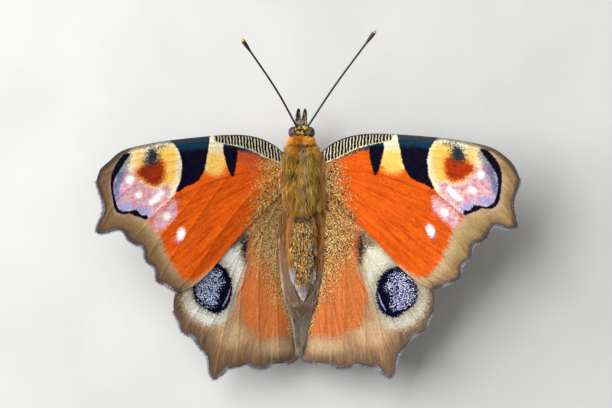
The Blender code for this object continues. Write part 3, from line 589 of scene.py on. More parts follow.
# Colours of the wings' layers, as red, green and blue
wingColours = {
    "foreGround": ((0.54, 0.055, 0.004), (0.84, 0.130, 0.006)),
    "hindGround": ((0.42, 0.105, 0.026), (0.70, 0.19, 0.050)), "hindBright": (0.86, 0.25, 0.055),
    "hindPale": (0.62, 0.27, 0.11), "vein": (0.36, 0.16, 0.10), "foreRed": (0.42, 0.035, 0.004),
    "barCream": (0.80, 0.72, 0.40), "barBlue": (0.48, 0.52, 0.48), "ringTan": (0.50, 0.40, 0.26),
    "speckBrown": (0.32, 0.145, 0.037), "speckOrange": (0.82, 0.27, 0.028),
    "sand": (0.42, 0.275, 0.118), "hindSand": (0.47, 0.26, 0.125), "brown": (0.165, 0.090, 0.043),
    "hindBrown": (0.155, 0.100, 0.060), "edgeGrey": (0.095, 0.078, 0.080), "paleSand": (0.62, 0.42, 0.24),
    "cream": (0.88, 0.80, 0.56), "whiteCream": (0.67, 0.665, 0.54), "yellow": (0.91, 0.57, 0.12),
    "blueSmear": (0.060, 0.085, 0.16), "blackBrown": (0.006, 0.003, 0.007),
    "halo": (0.84, 0.25, 0.018), "rust": (0.46, 0.037, 0.003), "rustDark": (0.20, 0.020, 0.006),
    "ruddy": (0.50, 0.072, 0.030),
    "pink": (0.71, 0.28, 0.31), "rose": (0.52, 0.22, 0.27), "pinkWhite": (0.78, 0.52, 0.55),
    # A brighter white for the left hindwing, as painted light
    "paintedLightWhite": (0.98, 1.0, 0.92),
    "lavender": (0.37, 0.345, 0.64), "white": (0.97, 0.95, 0.95), "ice": (0.26, 0.42, 0.70),
    "black": (0.001, 0.001, 0.014), "blue": (0.006, 0.036, 0.070), "grey": (0.036, 0.045, 0.055),
    "smudge": (0.022, 0.012, 0.012), "ash": (0.028, 0.030, 0.038),
    "speckDark": (0.035, 0.018, 0.006), "speckGold": (0.40, 0.185, 0.038), "speckPale": (0.76, 0.55, 0.26),
    "frost": (0.22, 0.26, 0.52), "frostWhite": (0.74, 0.74, 0.88), "redEdge": (0.74, 0.085, 0.012),
    "fold": (0.30, 0.14, 0.075), "foldGrey": (0.19, 0.13, 0.105),
    "underDark": (0.012, 0.009, 0.008), "underPale": (0.075, 0.052, 0.040), "underRim": (0.20, 0.145, 0.105),
}
# Scale widths in millimetres, and how many streaks fan out over a wing
wingGrain = {"scale": 0.14, "foreFine": 0.115, "hindFine": 0.11, "under": 0.17, "foreStreaks": 34.0,
             "hindStreaks": 60.0, "veinShare": 0.22}


def speckles(tree, shade, stops):
    ramp = addNode(tree, "ValToRGB", Fac=shade)
    ramp.color_ramp.interpolation = "CONSTANT"
    while len(ramp.color_ramp.elements) < len(stops):
        ramp.color_ramp.elements.new(0.5)
    for element, (place, colour) in zip(ramp.color_ramp.elements, stops):
        element.position = place
        element.color = rgb(wingColours[colour])
    return ramp.outputs[0]


# What both wings' tops start from, and the layer that puts a mark's colour over what is there
def wingBasis(name, ground, streakCount):
    material, tree, shader, place = newMaterial(name, 0.8, 0.06)
    scales = placeGroup(tree, scaleGroup, Vector=place, Size=wingGrain["scale"]).outputs
    streak = placeGroup(tree, streakGroup, Fan=attributeOf(tree, "fan"), Reach=attributeOf(tree, "reach"),
                        Count=streakCount).outputs[0]
    blend = times(tree, plus(tree, scales["Cloud"], streak), 0.5)
    colour = colourMix(tree, spread(tree, blend, 0.2, 0.72), *wingColours[ground])

    def layer(under, mark, over, grit, soft, shift=0.0):
        depth = plus(tree, attributeOf(tree, mark) if isinstance(mark, str) else mark, shift)
        mask = placeGroup(tree, edgeGroup, Depth=depth, Shade=scales["Shade"], Cloud=scales["Cloud"],
                          Grit=grit, Soft=soft).outputs[0]
        return colourMix(tree, mask, under, wingColours[over] if isinstance(over, str) else over)

    def tint(under, name, *shares):
        return colourMix(tree, times(tree, *shares), under, wingColours[name])

    return material, tree, shader, place, scales, streak, colour, layer, tint


def finishWing(tree, shader, scales, colour):
    vein = times(tree, between(tree, attributeOf(tree, "vein"), 0.16, 0.03), wingGrain["veinShare"])
    colour = colourMix(tree, vein, colour, wingColours["vein"], "MULTIPLY")
    colour = toneBy(tree, colour, scales["Second"], 0.80, 1.14)
    paint(tree, shader, colour, scales["Height"])


# A mask for the left wings, by default rising towards their tips, where it darkens and browns the colours as
# painted shade
def leftShare(tree, place, start=0.005, end=0.024):
    across = addNode(tree, "SeparateXYZ", Vector=place).outputs[0]
    return times(tree, between(tree, across, start, end), 0.75)


def makeForewingMaterial():
    material, tree, shader, place, scales, streak, colour, layer, tint = wingBasis(
        "forewingScales", "foreGround", wingGrain["foreStreaks"])
    leftSide, leftTipShade = leftShare(tree, place, 0.0, 0.001), leftShare(tree, place)
    rim = attributeOf(tree, "rim")
    colour = tint(colour, "foreRed", between(tree, streak, 0.35, 0.0), 0.45)
    # The sandy border, browner towards the rim; towards the left tip it is darker and browner still, as
    # painted shade
    outside = times(tree, attributeOf(tree, "field"), -1.0)
    fromRim = plus(tree, rim, times(tree, streak, 1.1))
    sand = tint(wingColours["brown"], "sand", spread(tree, fromRim, 0.5, 2.4))
    sand = tint(sand, "paleSand", between(tree, outside, 1.7, 0.3), between(tree, streak, 0.1, 0.7), 0.75)
    sand = tint(sand, "brown", leftTipShade, between(tree, rim, 5.0, 1.2))
    colour = layer(colour, outside, sand, 0.6, 0.3, 0.28)
    # Specks over the wing's base, redder on the left
    fine = placeGroup(tree, scaleGroup, Vector=place, Size=wingGrain["foreFine"]).outputs
    colour = layer(colour, "ruddy", tint(colour, "ruddy", leftSide), 0.5, 0.9)
    specks = speckles(tree, fine["Second"], [(0.0, "speckDark"), (0.38, "speckGold"), (0.8, "speckPale")])
    redder = speckles(tree, fine["Second"], [(0.0, "speckDark"), (0.24, "speckOrange"), (0.74, "speckGold"),
                                             (0.86, "speckPale")])
    specks = colourMix(tree, leftSide, specks, redder)
    wider = minus(tree, leftSide, 0.8)
    colour = layer(colour, "basal", tint(colour, "speckBrown", 0.7), 2.4, 1.0, wider)
    colour = layer(colour, "basal", specks, 3.5, 0.1, wider)
    across = addNode(tree, "SeparateXYZ", Vector=place).outputs[0]
    inward = between(tree, math2(tree, "ABSOLUTE", across), 0.010, 0.005)
    under = colourMix(tree, inward, wingColours["blue"], specks)
    colour = layer(colour, "underLine", tint(under, "blue", 0.45), 0.5, 0.12)
    # The eyespot and the patches
    mottle = noiseOf(tree, place, 1500.0, 3.0, 0.6)
    rosy = tint(wingColours["pink"], "pinkWhite", between(tree, mottle, 0.38, 0.58))
    # On the left wing the pink and the rust are darker towards the tip: painted shade
    rosy = tint(rosy, "rose", leftTipShade, 0.4)
    rusty = tint(wingColours["rust"], "rustDark", between(tree, mottle, 0.48, 0.75))
    rusty = tint(rusty, "rustDark", leftTipShade)
    inky = tint(wingColours["black"], "blackBrown", between(tree, mottle, 0.4, 0.65))
    for mark, over, grit, soft, shift in (
            ("cream", "cream", 0.16, 0.08, 0.12), ("yellow", "yellow", 0.5, 0.55, 0.25),
            ("pink", rosy, 0.6, 0.3, 0.0), ("rust", "halo", 0.4, 0.45, 0.18),
            ("rust", rusty, 0.45, 0.4, -0.15), ("smudge", "ash", 0.7, 0.5, 0.08),
            ("lavender", "lavender", 0.9, 0.5, 0.15)):
        colour = layer(colour, mark, over, grit, soft, shift)
    colour = layer(colour, "smear", tint(colour, "blueSmear", 0.72), 0.5, 0.4)
    colour = layer(colour, "black", inky, 0.18, 0.08)
    dark = spread(tree, attributeOf(tree, "patches"), 0.0, 0.15)
    colour = layer(colour, minus(tree, 1.7, rim), tint(colour, "blue", dark), 0.4, 0.5)
    colour = layer(colour, "white", "white", 0.25, 0.28, 0.06)
    colour = layer(colour, "costalGrey", tint(colour, "grey", 0.7), 0.25, 0.2)
    # The barred strip along the front edge
    wave = math2(tree, "SINE", plus(tree, times(tree, attributeOf(tree, "bars"), 2 * math.pi),
                                    times(tree, plus(tree, mottle, scales["Cloud"]), 4.5)))
    barMask = spread(tree, wave, -0.75, -0.2)
    tinted = tint(wingColours["barCream"], "barBlue", between(tree, scales["Second"], 0.55, 0.8))
    tinted = tint(tinted, "speckGold", between(tree, scales["Shade"], 0.86, 0.9))
    for mark, over, grit, soft, shift in (
            ("strip", colourMix(tree, barMask, tinted, inky), 0.1, 0.05, 0.0),
            ("creamLine", "barCream", 0.16, 0.05, -0.01), ("costaLine", "smudge", 0.1, 0.06, 0.0),
            ("edge", "edgeGrey", 0.25, 0.12, 0.0)):
        colour = layer(colour, mark, over, grit, soft, shift)
    finishWing(tree, shader, scales, colour)
    return material


def makeHindwingMaterial():
    material, tree, shader, place, scales, streak, colour, layer, tint = wingBasis(
        "hindwingScales", "hindGround", wingGrain["hindStreaks"])
    leftSide, leftTipShade = leftShare(tree, place, 0.0, 0.001), leftShare(tree, place)
    rim = attributeOf(tree, "rim")
    colour = tint(colour, "hindBright", leftSide, 0.4)
    colour = tint(colour, "hindPale", between(tree, streak, 0.55, 1.0), 0.6)
    fromRim = plus(tree, rim, times(tree, streak, 1.6))
    sand = tint(wingColours["hindBrown"], "hindSand", spread(tree, fromRim, 1.2, 4.6))
    sand = tint(sand, "paleSand", between(tree, attributeOf(tree, "pale"), -0.8, 0.9), 0.8)
    # Towards the left tip the border is browner and darker: painted shade
    sand = tint(sand, "brown", leftTipShade, between(tree, rim, 3.5, 0.3), 0.4)
    sand = toneBy(tree, sand, streak, 0.78, 1.12)
    # The white is brighter on the left wing: painted light against the shade that falls on it there
    whitish = colourMix(tree, leftSide, wingColours["whiteCream"], wingColours["paintedLightWhite"])
    for mark, over, grit, soft, shift in (("tan", sand, 1.3, 0.6, -0.1), ("cream", "ringTan", 0.8, 0.8, -0.1),
                                          ("cream", whitish, 0.8, 0.8, -0.6)):
        colour = layer(colour, mark, over, grit, soft, shift)
    fine = placeGroup(tree, scaleGroup, Vector=place, Size=wingGrain["hindFine"]).outputs
    # On the left wing the specks are paler: painted light against the forewing's shadow there
    paler = plus(tree, fine["Second"], times(tree, leftSide, 0.22))
    specks = speckles(tree, paler, [(0.0, "speckDark"), (0.31, "speckGold"), (0.75, "speckPale")])
    colour = layer(colour, "basal", tint(colour, "speckBrown", 0.65), 2.4, 1.3, -1.0)
    colour = layer(colour, "basal", specks, 4.8, 0.1, -1.0)
    colour = layer(colour, "umber", tint(colour, "brown", 0.88), 1.1, 0.4)
    fold = tint(wingColours["fold"], "foldGrey", scales["Cloud"])
    for mark, over, grit, soft in (("smudge", "smudge", 0.7, 0.5), ("inner", fold, 0.5, 0.35),
                                   ("paleLine", specks, 0.5, 0.15), ("redEdge", "redEdge", 0.12, 0.08)):
        colour = layer(colour, mark, over, grit, soft)
    # The eyespot: a black egg frosted with single pale scales
    colour = layer(colour, "black", tint(colour, "brown", 0.6), 1.1, 0.7, 0.7)
    frosty = speckles(tree, fine["Shade"], [(0.0, "black"), (0.52, "frost"), (0.75, "frostWhite")])
    icy = speckles(tree, fine["Shade"], [(0.0, "black"), (0.45, "ice"), (0.76, "frostWhite")])
    for mark, over, grit, soft in (("black", "black", 0.4, 0.16),
                                   ("frost", colourMix(tree, leftSide, frosty, icy), 0.9, 0.1),
                                   ("white", "lavender", 0.12, 0.08), ("edge", "edgeGrey", 0.25, 0.12)):
        colour = layer(colour, mark, over, grit, soft)
    finishWing(tree, shader, scales, colour)
    return material


# The underside is nearly black, with fine paler ripples across it
def makeUndersideMaterial():
    material, tree, shader, place = newMaterial("wingUnderside", 0.7, 0.15)
    scales = placeGroup(tree, scaleGroup, Vector=place, Size=wingGrain["under"]).outputs
    ripples = addNode(tree, "TexWave", {"bands_direction": "Y"}, Vector=place, Scale=260.0, Distortion=9.0,
                      Detail=3.0)
    ripples.inputs["Detail Scale"].default_value = 2.0
    share = times(tree, ripples.outputs["Fac"], plus(tree, scales["Shade"], 0.3))
    colour = colourMix(tree, share, wingColours["underDark"], wingColours["underPale"])
    border = times(tree, between(tree, attributeOf(tree, "rim"), 3.4, 1.2), share)
    paint(tree, shader, colourMix(tree, border, colour, wingColours["underRim"]), scales["Height"])
    return material


def deselectAll():
    bpy.ops.object.select_all(action="DESELECT")


def applyModifiers(piece):
    deselectAll()
    piece.select_set(True)
    bpy.context.view_layer.objects.active = piece
    for modifier in list(piece.modifiers):
        bpy.ops.object.modifier_apply(modifier=modifier.name)


def pointsOf(mesh):
    flat = np.empty(len(mesh.vertices) * 3)
    mesh.vertices.foreach_get("co", flat)
    return flat.reshape(-1, 3)


def storeAttribute(mesh, name, values):
    attribute = mesh.attributes.new(name, "FLOAT", "POINT")
    attribute.data.foreach_set("value", np.asarray(values, np.float32))


def makeWing(name, sideName, wing, height, markDepths, topMaterial):
    side = sides[sideName]
    rows, columns = wingShape["rows"], wingShape["columns"]
    net = wingNet(wing, rows, columns)
    deselectAll()
    bpy.ops.mesh.primitive_grid_add(x_subdivisions=rows - 1, y_subdivisions=columns - 1, size=2)
    piece = bpy.context.active_object
    piece.name = name + "Scales_" + sideName
    mesh = piece.data
    flat = pointsOf(mesh)
    row = np.rint((flat[:, 0] + 1) / 2 * (rows - 1)).astype(int)
    column = np.rint((flat[:, 1] + 1) / 2 * (columns - 1)).astype(int)
    spots = net[row, column]
    costa, margin, _ = wingSides(wing)
    outer, _ = lineDistance(spots, evenly(margin, 220))
    front, _ = lineDistance(spots, evenly(costa, 80))
    toVein = np.min([lineDistance(spots, line)[0] for line in veinLines(wing)], axis=0)
    rim = np.minimum(outer, front)
    marks = markDepths(spots, rim, sideName)
    outerEdge, frontEdge = wingShape["edge"]
    marks.update({"rim": rim, "vein": toVein, "edge": np.maximum(outerEdge - outer, frontEdge - front),
                  "fan": column / (columns - 1), "reach": row / (rows - 1)})
    for mark, values in marks.items():
        storeAttribute(mesh, mark, values)
    plan = layWing(spots, wing, sideName)
    up = height(plan[:, 0], plan[:, 1])
    fade = smoothStep(rim, 0.0, 0.5)
    up = up + fade * wingShape["veinLift"] * np.exp(-(toVein / wingShape["veinWidth"]) ** 2)
    sag = np.zeros((rows, columns))
    sag[row, column] = fade * wingShape["pleat"] * smoothStep(toVein, 0.0, 1.5)
    for _ in range(wingShape["smoothing"]):
        sag = np.pad(sag, 1, mode="edge")
        sag = (sag[:-2, 1:-1] + sag[2:, 1:-1] + sag[1:-1, :-2] + sag[1:-1, 2:] + 4 * sag[1:-1, 1:-1]) / 8
    up = up - sag[row, column]
    up = up + 0.05 * np.sin(plan[:, 0] * 0.9 + plan[:, 1] * 0.5) * np.sin(plan[:, 1] * 0.7 - plan[:, 0] * 0.3)
    mesh.vertices.foreach_set("co", toWorld(plan[:, 0], plan[:, 1], up, side).ravel())
    mesh.update()
    if np.mean([polygon.normal.z for polygon in list(mesh.polygons)[::97]]) < 0:
        mesh.flip_normals()
    mesh.materials.append(topMaterial)
    mesh.materials.append(undersideMaterial)
    shell = piece.modifiers.new("thickness", "SOLIDIFY")
    shell.thickness = wingShape["thickness"] * mm
    shell.offset = 0.0
    shell.material_offset = 1
    applyModifiers(piece)
    piece.data.shade_smooth()
    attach(piece, "root")
    return piece


forewingMaterial = makeForewingMaterial()
hindwingMaterial = makeHindwingMaterial()
undersideMaterial = makeUndersideMaterial()
for sideName in sides:
    piece = makeWing("forewing", sideName, foreWing, foreHeight, foreMarkDepths, forewingMaterial)
    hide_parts("forewing_" + sideName)
    piece = makeWing("hindwing", sideName, hindWing, hindHeight, hindMarkDepths, hindwingMaterial)
    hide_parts("hindwing_" + sideName)
print("wings made")

# Body: one skin for head, collar, thorax and abdomen, a coat's depth inside the solids

skinShape = {"around": 72, "rings": 140, "abdomenInset": 0.06, "segments": 8, "segmentStep": 0.05,
             "tipBend": -0.42, "tipTaper": 0.2,
             "profile": [(-12.02, 0.03, 0.03, 6.80), (-11.94, 0.42, 0.45, 6.85), (-11.6, 0.78, 0.86, 6.95),
                         (-11.1, 0.98, 1.06, 7.0), (-10.6, 0.95, 1.02, 7.0), (-10.25, 0.86, 0.92, 7.0),
                         (-9.9, 1.08, 1.12, 7.0), (-9.2, 1.42, 1.45, 7.0), (-8.7, 1.68, 1.70, 6.98),
                         (-8.2, 2.02, 2.02, 6.95), (-7.3, 2.34, 2.34, 6.9), (-5.5, 2.46, 2.44, 6.9),
                         (-3.5, 2.46, 2.44, 6.9), (-1.8, 2.34, 2.36, 6.9), (-0.6, 2.06, 2.12, 6.85),
                         (0.2, 1.74, 1.78, 6.8), (0.8, 1.50, 1.52, 6.72), (1.4, 1.52, 1.50, 6.68)]}


def skinProfile():
    rows = [list(row) for row in skinShape["profile"]]
    for back in np.linspace(2.2, bodyShape["abdomenRear"] - 0.35, 30):
        width = max(float(abdomenHalfWidth(back)) - skinShape["abdomenInset"], 0.03)
        width *= 1 - skinShape["tipTaper"] * float(smoothStep(np.array(back), 10.5, 13.4))
        share = (back - bodyShape["abdomenFront"]) / (bodyShape["abdomenRear"] - bodyShape["abdomenFront"])
        rows.append([back, width, width * 0.97, 6.7 - share])
    return curveThrough(rows, 8)


profile = skinProfile()


# A spot on the skin: how far back it lies and its angle round the body, 90 degrees on top
def skinPoint(back, angle):
    width, height, middle = (np.interp(back, profile[:, 0], profile[:, axis]) for axis in (1, 2, 3))
    length = bodyShape["abdomenRear"] - bodyShape["abdomenFront"]
    ring = np.clip((back - bodyShape["abdomenFront"]) / length, 0, 1) * skinShape["segments"]
    step = skinShape["segmentStep"] * ((ring % 1.0) - 0.5) * (ring > 0) * (ring < skinShape["segments"])
    bend = skinShape["tipBend"] * np.clip((back - bodyShape["abdomenFront"]) / length, 0, 1) ** 1.2
    return np.stack([bend + (width + step) * np.cos(angle), back + 0 * angle,
                     middle + (height + step) * np.sin(angle)], -1)


def skinNormal(back, angle):
    small = 0.02
    along = skinPoint(back + small, angle) - skinPoint(back - small, angle)
    around = skinPoint(back, angle + small) - skinPoint(back, angle - small)
    normal = np.cross(along, around)
    normal /= np.maximum(np.linalg.norm(normal, axis=1, keepdims=True), 1e-9)
    outward = np.stack([np.cos(angle), 0 * angle, np.sin(angle)], -1)
    return normal * np.where((normal * outward).sum(1, keepdims=True) < 0, -1, 1)


def bodyWorld(points):
    return toWorld(points[:, 0], points[:, 1], points[:, 2])


hairColours = {
    "olive": (0.30, 0.175, 0.026), "gold": (0.62, 0.36, 0.045), "shadow": (0.10, 0.058, 0.014),
    "sideOrange": (0.58, 0.26, 0.030), "collarDark": (0.80, 0.33, 0.024),
    "greyStreak": (0.34, 0.25, 0.18), "collar": (1.0, 0.46, 0.028), "collarLine": (0.12, 0.014, 0.004),
    "headDark": (0.032, 0.022, 0.015), "headGrey": (0.54, 0.45, 0.35), "headGold": (1.0, 0.72, 0.19),
    "corner": (0.36, 0.22, 0.11), "abdomenBlue": (0.26, 0.30, 0.52),
    "abdomenDark": (0.022, 0.014, 0.010), "abdomenGold": (0.98, 0.57, 0.070),
    "abdomenBrown": (0.46, 0.18, 0.040), "tipGrey": (0.56, 0.58, 0.62), "belly": (0.17, 0.085, 0.035),
    "collarTan": (0.72, 0.44, 0.14), "collarBrown": (0.36, 0.20, 0.055), "abdomenPale": (0.86, 0.72, 0.44),
}


# Skin and hair share one colouring, worked out from where each hair grows
def makeBodyColourGroup():
    group, given, result = newGroup("bodyColour", [("Root", "Vector", None), ("Chance", "Float", 0.5)],
                                    [("Color", "Color")])
    out, back, up = addNode(group, "SeparateXYZ", Vector=given["Root"]).outputs
    width = math2(group, "ABSOLUTE", out)
    streaks = addNode(group, "Mapping", Vector=given["Root"], Scale=(2.6, 0.35, 1.2)).outputs[0]
    noise = noiseOf(group, streaks, 1.0, 3.0, 0.6)
    blotch = noiseOf(group, given["Root"], 2.2)

    def tint(under, name, *shares):
        return colourMix(group, times(group, *shares), under, hairColours[name])

    def ramp(value, low, high):
        return between(group, value, low, high)

    def most(limit):
        return moreThan(group, given["Chance"], limit)

    def few(limit):
        return lessThan(group, given["Chance"], limit)

    thorax = tint(hairColours["olive"], "gold", ramp(noise, 0.38, 0.62))
    thorax = tint(thorax, "greyStreak", ramp(width, 0.75, 0.1), ramp(blotch, 0.4, 0.6))
    thorax = tint(thorax, "shadow", ramp(back, -4.0, -2.4), ramp(back, -0.8, -1.8), ramp(width, 0.5, 1.0),
                  ramp(blotch, 0.5, 0.6), 0.6)
    thorax = tint(thorax, "sideOrange", ramp(width, 1.4, 2.3), ramp(noise, 0.42, 0.55), 0.7)
    thorax = tint(thorax, "sideOrange", ramp(back, -1.6, -0.2), ramp(blotch, 0.4, 0.56), 0.75)
    thorax = tint(tint(thorax, "shadow", few(0.16)), "collarTan", most(0.9))
    head = tint(hairColours["headGrey"], "headDark", few(0.5))
    head = tint(head, "headGold", most(0.58), ramp(back, -11.75, -11.35))
    collar = tint(hairColours["collar"], "collarDark", few(0.36))
    collar = tint(collar, "collarTan", most(0.78))
    collar = tint(collar, "collarBrown", ramp(noise, 0.48, 0.6), 0.7)
    bowed = plus(group, back, 8.9, times(group, width, width, 0.1))
    line = plus(group, math2(group, "ABSOLUTE", bowed), minus(group, noise, 0.48))
    collar = tint(collar, "collarLine", ramp(line, 0.32, 0.16), ramp(width, 1.7, 1.1))
    # The abdomen's golden hairs, its dark ones, and the paler flanks and tip
    dark = tint(hairColours["abdomenGold"], "abdomenBrown", few(0.56))
    dark = tint(dark, "abdomenDark", few(0.46))
    bluer = spread(group, back, 3.0, 6.0, 0.4)
    dark = tint(dark, "abdomenBlue", most(0.81), bluer)
    dark = tint(dark, "abdomenPale", most(0.88))
    dark = tint(dark, "abdomenDark", ramp(back, 2.9, 2.2), ramp(back, 1.0, 1.7), 0.7)
    off = math2(group, "ABSOLUTE", plus(group, out, times(group, back, 0.03)))
    taper = times(group, math2(group, "MAXIMUM", minus(group, back, 7.0), 0.0), 0.14)
    narrow = times(group, math2(group, "MAXIMUM", minus(group, 6.0, back), 0.0), 0.11)
    flank = ramp(plus(group, off, taper, narrow), 1.65, 1.95)
    flankColour = tint(hairColours["abdomenBrown"], "tipGrey", ramp(back, 8.4, 10.4))
    abdomen = tint(colourMix(group, flank, dark, flankColour), "tipGrey", ramp(back, 11.4, 13.2), 0.75)
    # From front to back, with wavy borders
    place = plus(group, back, times(group, minus(group, blotch, 0.5), 0.8))
    colour = colourMix(group, ramp(place, -10.5, -10.1), head, collar)
    colour = colourMix(group, ramp(place, -8.8, -8.3), colour, thorax)
    colour = tint(colour, "corner", ramp(place, -9.4, -9.0), ramp(place, -7.5, -8.0), ramp(width, 1.35, 1.75),
                  0.65)
    colour = colourMix(group, ramp(place, 0.2, 1.2), colour, abdomen)
    colour = tint(colour, "belly", ramp(up, 5.6, 4.6), 0.8)
    group.links.new(colour, result["Color"])
    return group


bodyColourGroup = makeBodyColourGroup()


def makeBodyHairMaterial():
    material, tree, shader, _ = newMaterial("bodyHair", 0.75)
    root = attributeOf(tree, "root", "Vector")
    colour = placeGroup(tree, bodyColourGroup, Root=root, Chance=attributeOf(tree, "chance")).outputs[0]
    colour = toneBy(tree, colour, attributeOf(tree, "along"), 0.45, 1.25, 0.8)
    odd = math2(tree, "FRACT", times(tree, attributeOf(tree, "tuft"), 7.31))
    paint(tree, shader, toneBy(tree, colour, odd, 0.72, 1.28))
    return material


hairMaterial = makeBodyHairMaterial()


def storeRoot(mesh, roots, chance, along, tuft):
    attribute = mesh.attributes.new("root", "FLOAT_VECTOR", "POINT")
    attribute.data.foreach_set("vector", np.asarray(roots, np.float32).ravel())
    storeAttribute(mesh, "chance", chance)
    storeAttribute(mesh, "along", along)
    storeAttribute(mesh, "tuft", tuft)


# A ball of radius 1 and its points, for the skin and the eyes to reshape
def makeBall(name, around, rings):
    deselectAll()
    bpy.ops.mesh.primitive_uv_sphere_add(segments=around, ring_count=rings, radius=1)
    piece = bpy.context.active_object
    piece.name = name
    return piece, pointsOf(piece.data)


def makeSkin():
    piece, ball = makeBall("bodySkin", skinShape["around"], skinShape["rings"])
    mesh = piece.data
    share = np.arccos(np.clip(ball[:, 2], -1, 1)) / math.pi
    angle = np.arctan2(ball[:, 1], ball[:, 0])
    stretch = np.linspace(0, 1, len(profile))
    back = np.interp(share, stretch, profile[:, 0])
    points = skinPoint(back, angle)
    mesh.vertices.foreach_set("co", bodyWorld(points).ravel())
    mesh.update()
    top = max(mesh.polygons, key=lambda polygon: polygon.center.z)
    if top.normal.z < 0:
        mesh.flip_normals()
    storeRoot(mesh, points, np.full(len(points), 0.5), np.full(len(points), 0.12), np.full(len(points), 0.5))
    mesh.materials.append(hairMaterial)
    mesh.shade_smooth()
    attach(piece, "root")
    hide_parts("head", "collar", "thorax", "abdomen")


makeSkin()

# Hair: each tuft is a thin closed spike of three sides that bends along the lie of the coat

tuftShape = {"patch": 0.003, "sink": 0.12, "middle": 0.55, "middleWidth": 0.72}


def unit(vectors):
    return vectors / np.maximum(np.linalg.norm(vectors, axis=1, keepdims=True), 1e-9)


def makeCoat(name, roots, normals, lies, lengths, widths, lifts, places, chance, material, bends=0.35):
    count = len(roots)
    lies = unit(lies - (lies * normals).sum(1, keepdims=True) * normals)
    start = unit(lies * np.cos(lifts)[:, None] + normals * np.sin(lifts)[:, None])
    end = unit(start - normals * bends * np.sin(lifts + 0.3)[:, None])
    across = unit(np.cross(start, normals))
    upward = np.cross(across, start)
    base = roots - start * tuftShape["sink"]
    middle = roots + start * (lengths * tuftShape["middle"])[:, None]
    tip = middle + end * (lengths * (1 - tuftShape["middle"]))[:, None]
    points = np.empty((count, 7, 3))
    for corner, angle in enumerate((math.pi / 2, math.pi * 7 / 6, math.pi * 11 / 6)):
        offset = (across * math.cos(angle) + upward * math.sin(angle)) * (widths / 2)[:, None]
        points[:, corner] = base + offset
        points[:, 3 + corner] = middle + offset * tuftShape["middleWidth"]
    points[:, 6] = tip
    pattern = [(0, 2, 1), (0, 1, 4), (0, 4, 3), (1, 2, 5), (1, 5, 4), (2, 0, 3), (2, 3, 5), (3, 4, 6),
               (4, 5, 6), (5, 3, 6)]
    faces = (np.array(pattern)[None] + 7 * np.arange(count)[:, None, None]).reshape(-1, 3)
    mesh = bpy.data.meshes.new(name)
    mesh.from_pydata(bodyWorld(points.reshape(-1, 3)), [], faces)
    mesh.update()
    first = mesh.polygons[0]
    centre = points[0].mean(0)
    if np.dot(np.array(first.normal), np.array(first.center) - bodyWorld(centre[None])[0]) < 0:
        mesh.flip_normals()
    half = tuftShape["patch"] / 2
    corners = np.array([(-half, -half), (half, -half), (0, 0), (-half, 0), (half, 0), (0, half / 2),
                        (0, half)])
    spots = (places[:, None, :] + corners[None]).reshape(-1, 2)
    unwrap = mesh.uv_layers.new(name="OFBake")
    corner = np.empty(len(mesh.loops), int)
    mesh.loops.foreach_get("vertex_index", corner)
    unwrap.data.foreach_set("uv", spots[corner].astype(np.float32).ravel())
    storeRoot(mesh, np.repeat(roots, 7, axis=0), np.repeat(chance, 7),
              np.tile([0, 0, 0, tuftShape["middle"]] + [tuftShape["middle"]] * 2 + [1.0], count),
              np.repeat(np.random.default_rng(count).uniform(0, 1, count), 7))
    mesh.materials.append(material)
    piece = bpy.data.objects.new(name, mesh)
    bpy.context.collection.objects.link(piece)
    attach(piece, "root")


# Neighbouring hairs within a clump share one chance, so that they take the same colour
def clumpChance(rng, roots, size):
    cells = np.floor(roots / np.array(size) + rng.normal(0, 0.12, roots.shape)).astype(int)
    mixed = (cells * np.array([73856093, 19349663, 83492791])).sum(1)
    return np.modf(np.abs(np.sin(mixed * 0.0137 + 1.3)) * 4375.5453)[0]


def noiseOver(rng, points, size):
    turns = rng.normal(0, 1 / size, (6, points.shape[1]))
    return np.mean([np.sin(points @ turn + index * 1.7) for index, turn in enumerate(turns)], axis=0) * 1.6


# Each stretch of the body: where it starts and ends, its hairs, their length, width, lift in degrees and lie.
# The head leaves the eyes bare, and the flanks' hair grows beside the body only.
bodyCoat = {
    "head": {"span": (-11.95, -10.1), "count": 7500, "length": (0.35, 0.75), "width": 0.1, "lift": 42,
             "lie": (0.5, -0.5, 0.2), "spread": 0.3, "clump": (0.3, 0.3, 0.3),
             "bareEye": (-10.95, 0.7, 0.86)},
    "face": {"span": (-11.99, -11.62), "count": 1100, "length": (0.7, 1.35), "width": 0.08, "lift": 34,
             "lie": (-0.1, -1.0, 0.2), "spread": 0.22, "clump": (0.2, 0.3, 0.2)},
    "collar": {"span": (-10.2, -8.4), "count": 8500, "length": (0.5, 1.15), "width": 0.1, "lift": 48,
               "lie": (0.7, 1.0, 0.1), "spread": 0.5, "clump": (0.34, 0.5, 0.34)},
    "thorax": {"span": (-8.7, 0.7), "count": 19500, "length": (1.0, 2.0), "width": 0.1, "lift": 20,
               "lie": (0.26, 1.0, 0.0), "spread": 0.18, "clump": (0.24, 1.0, 0.4)},
    "abdomen": {"span": (0.5, 13.9), "count": 19500, "length": (0.17, 0.3), "width": 0.085, "lift": 15,
                "lie": (0.0, 1.0, 0.0), "spread": 0.15, "clump": (0.1, 0.1, 0.1)},
    "flank": {"span": (0.9, 11.5), "count": 12000, "length": (0.45, 0.85), "width": 0.08, "lift": 30,
              "lie": (0.75, 1.0, 0.0), "spread": 0.15, "clump": (0.12, 0.5, 0.12), "beside": 0.8},
    "tail": {"span": (12.9, 13.95), "count": 900, "length": (0.4, 0.7), "width": 0.08, "lift": 10,
             "lie": (-0.5, 1.0, 0.0), "spread": 0.12, "clump": (0.12, 0.3, 0.12)},
}


# The stretches of body and wing that the unwrap covers, in millimetres
bakeArea = {"bodyFront": -12.1, "bodyLength": 26.5, "wingWidth": 33, "wingFront": -12, "wingLength": 38}


# Places on the unwrap from two shares that run from 0 to 1, with a small margin
def bakeSpots(across, along):
    return 0.02 + 0.96 * np.stack([across, along], -1)


def turnShare(angle):
    return (angle + math.pi) / (2 * math.pi)


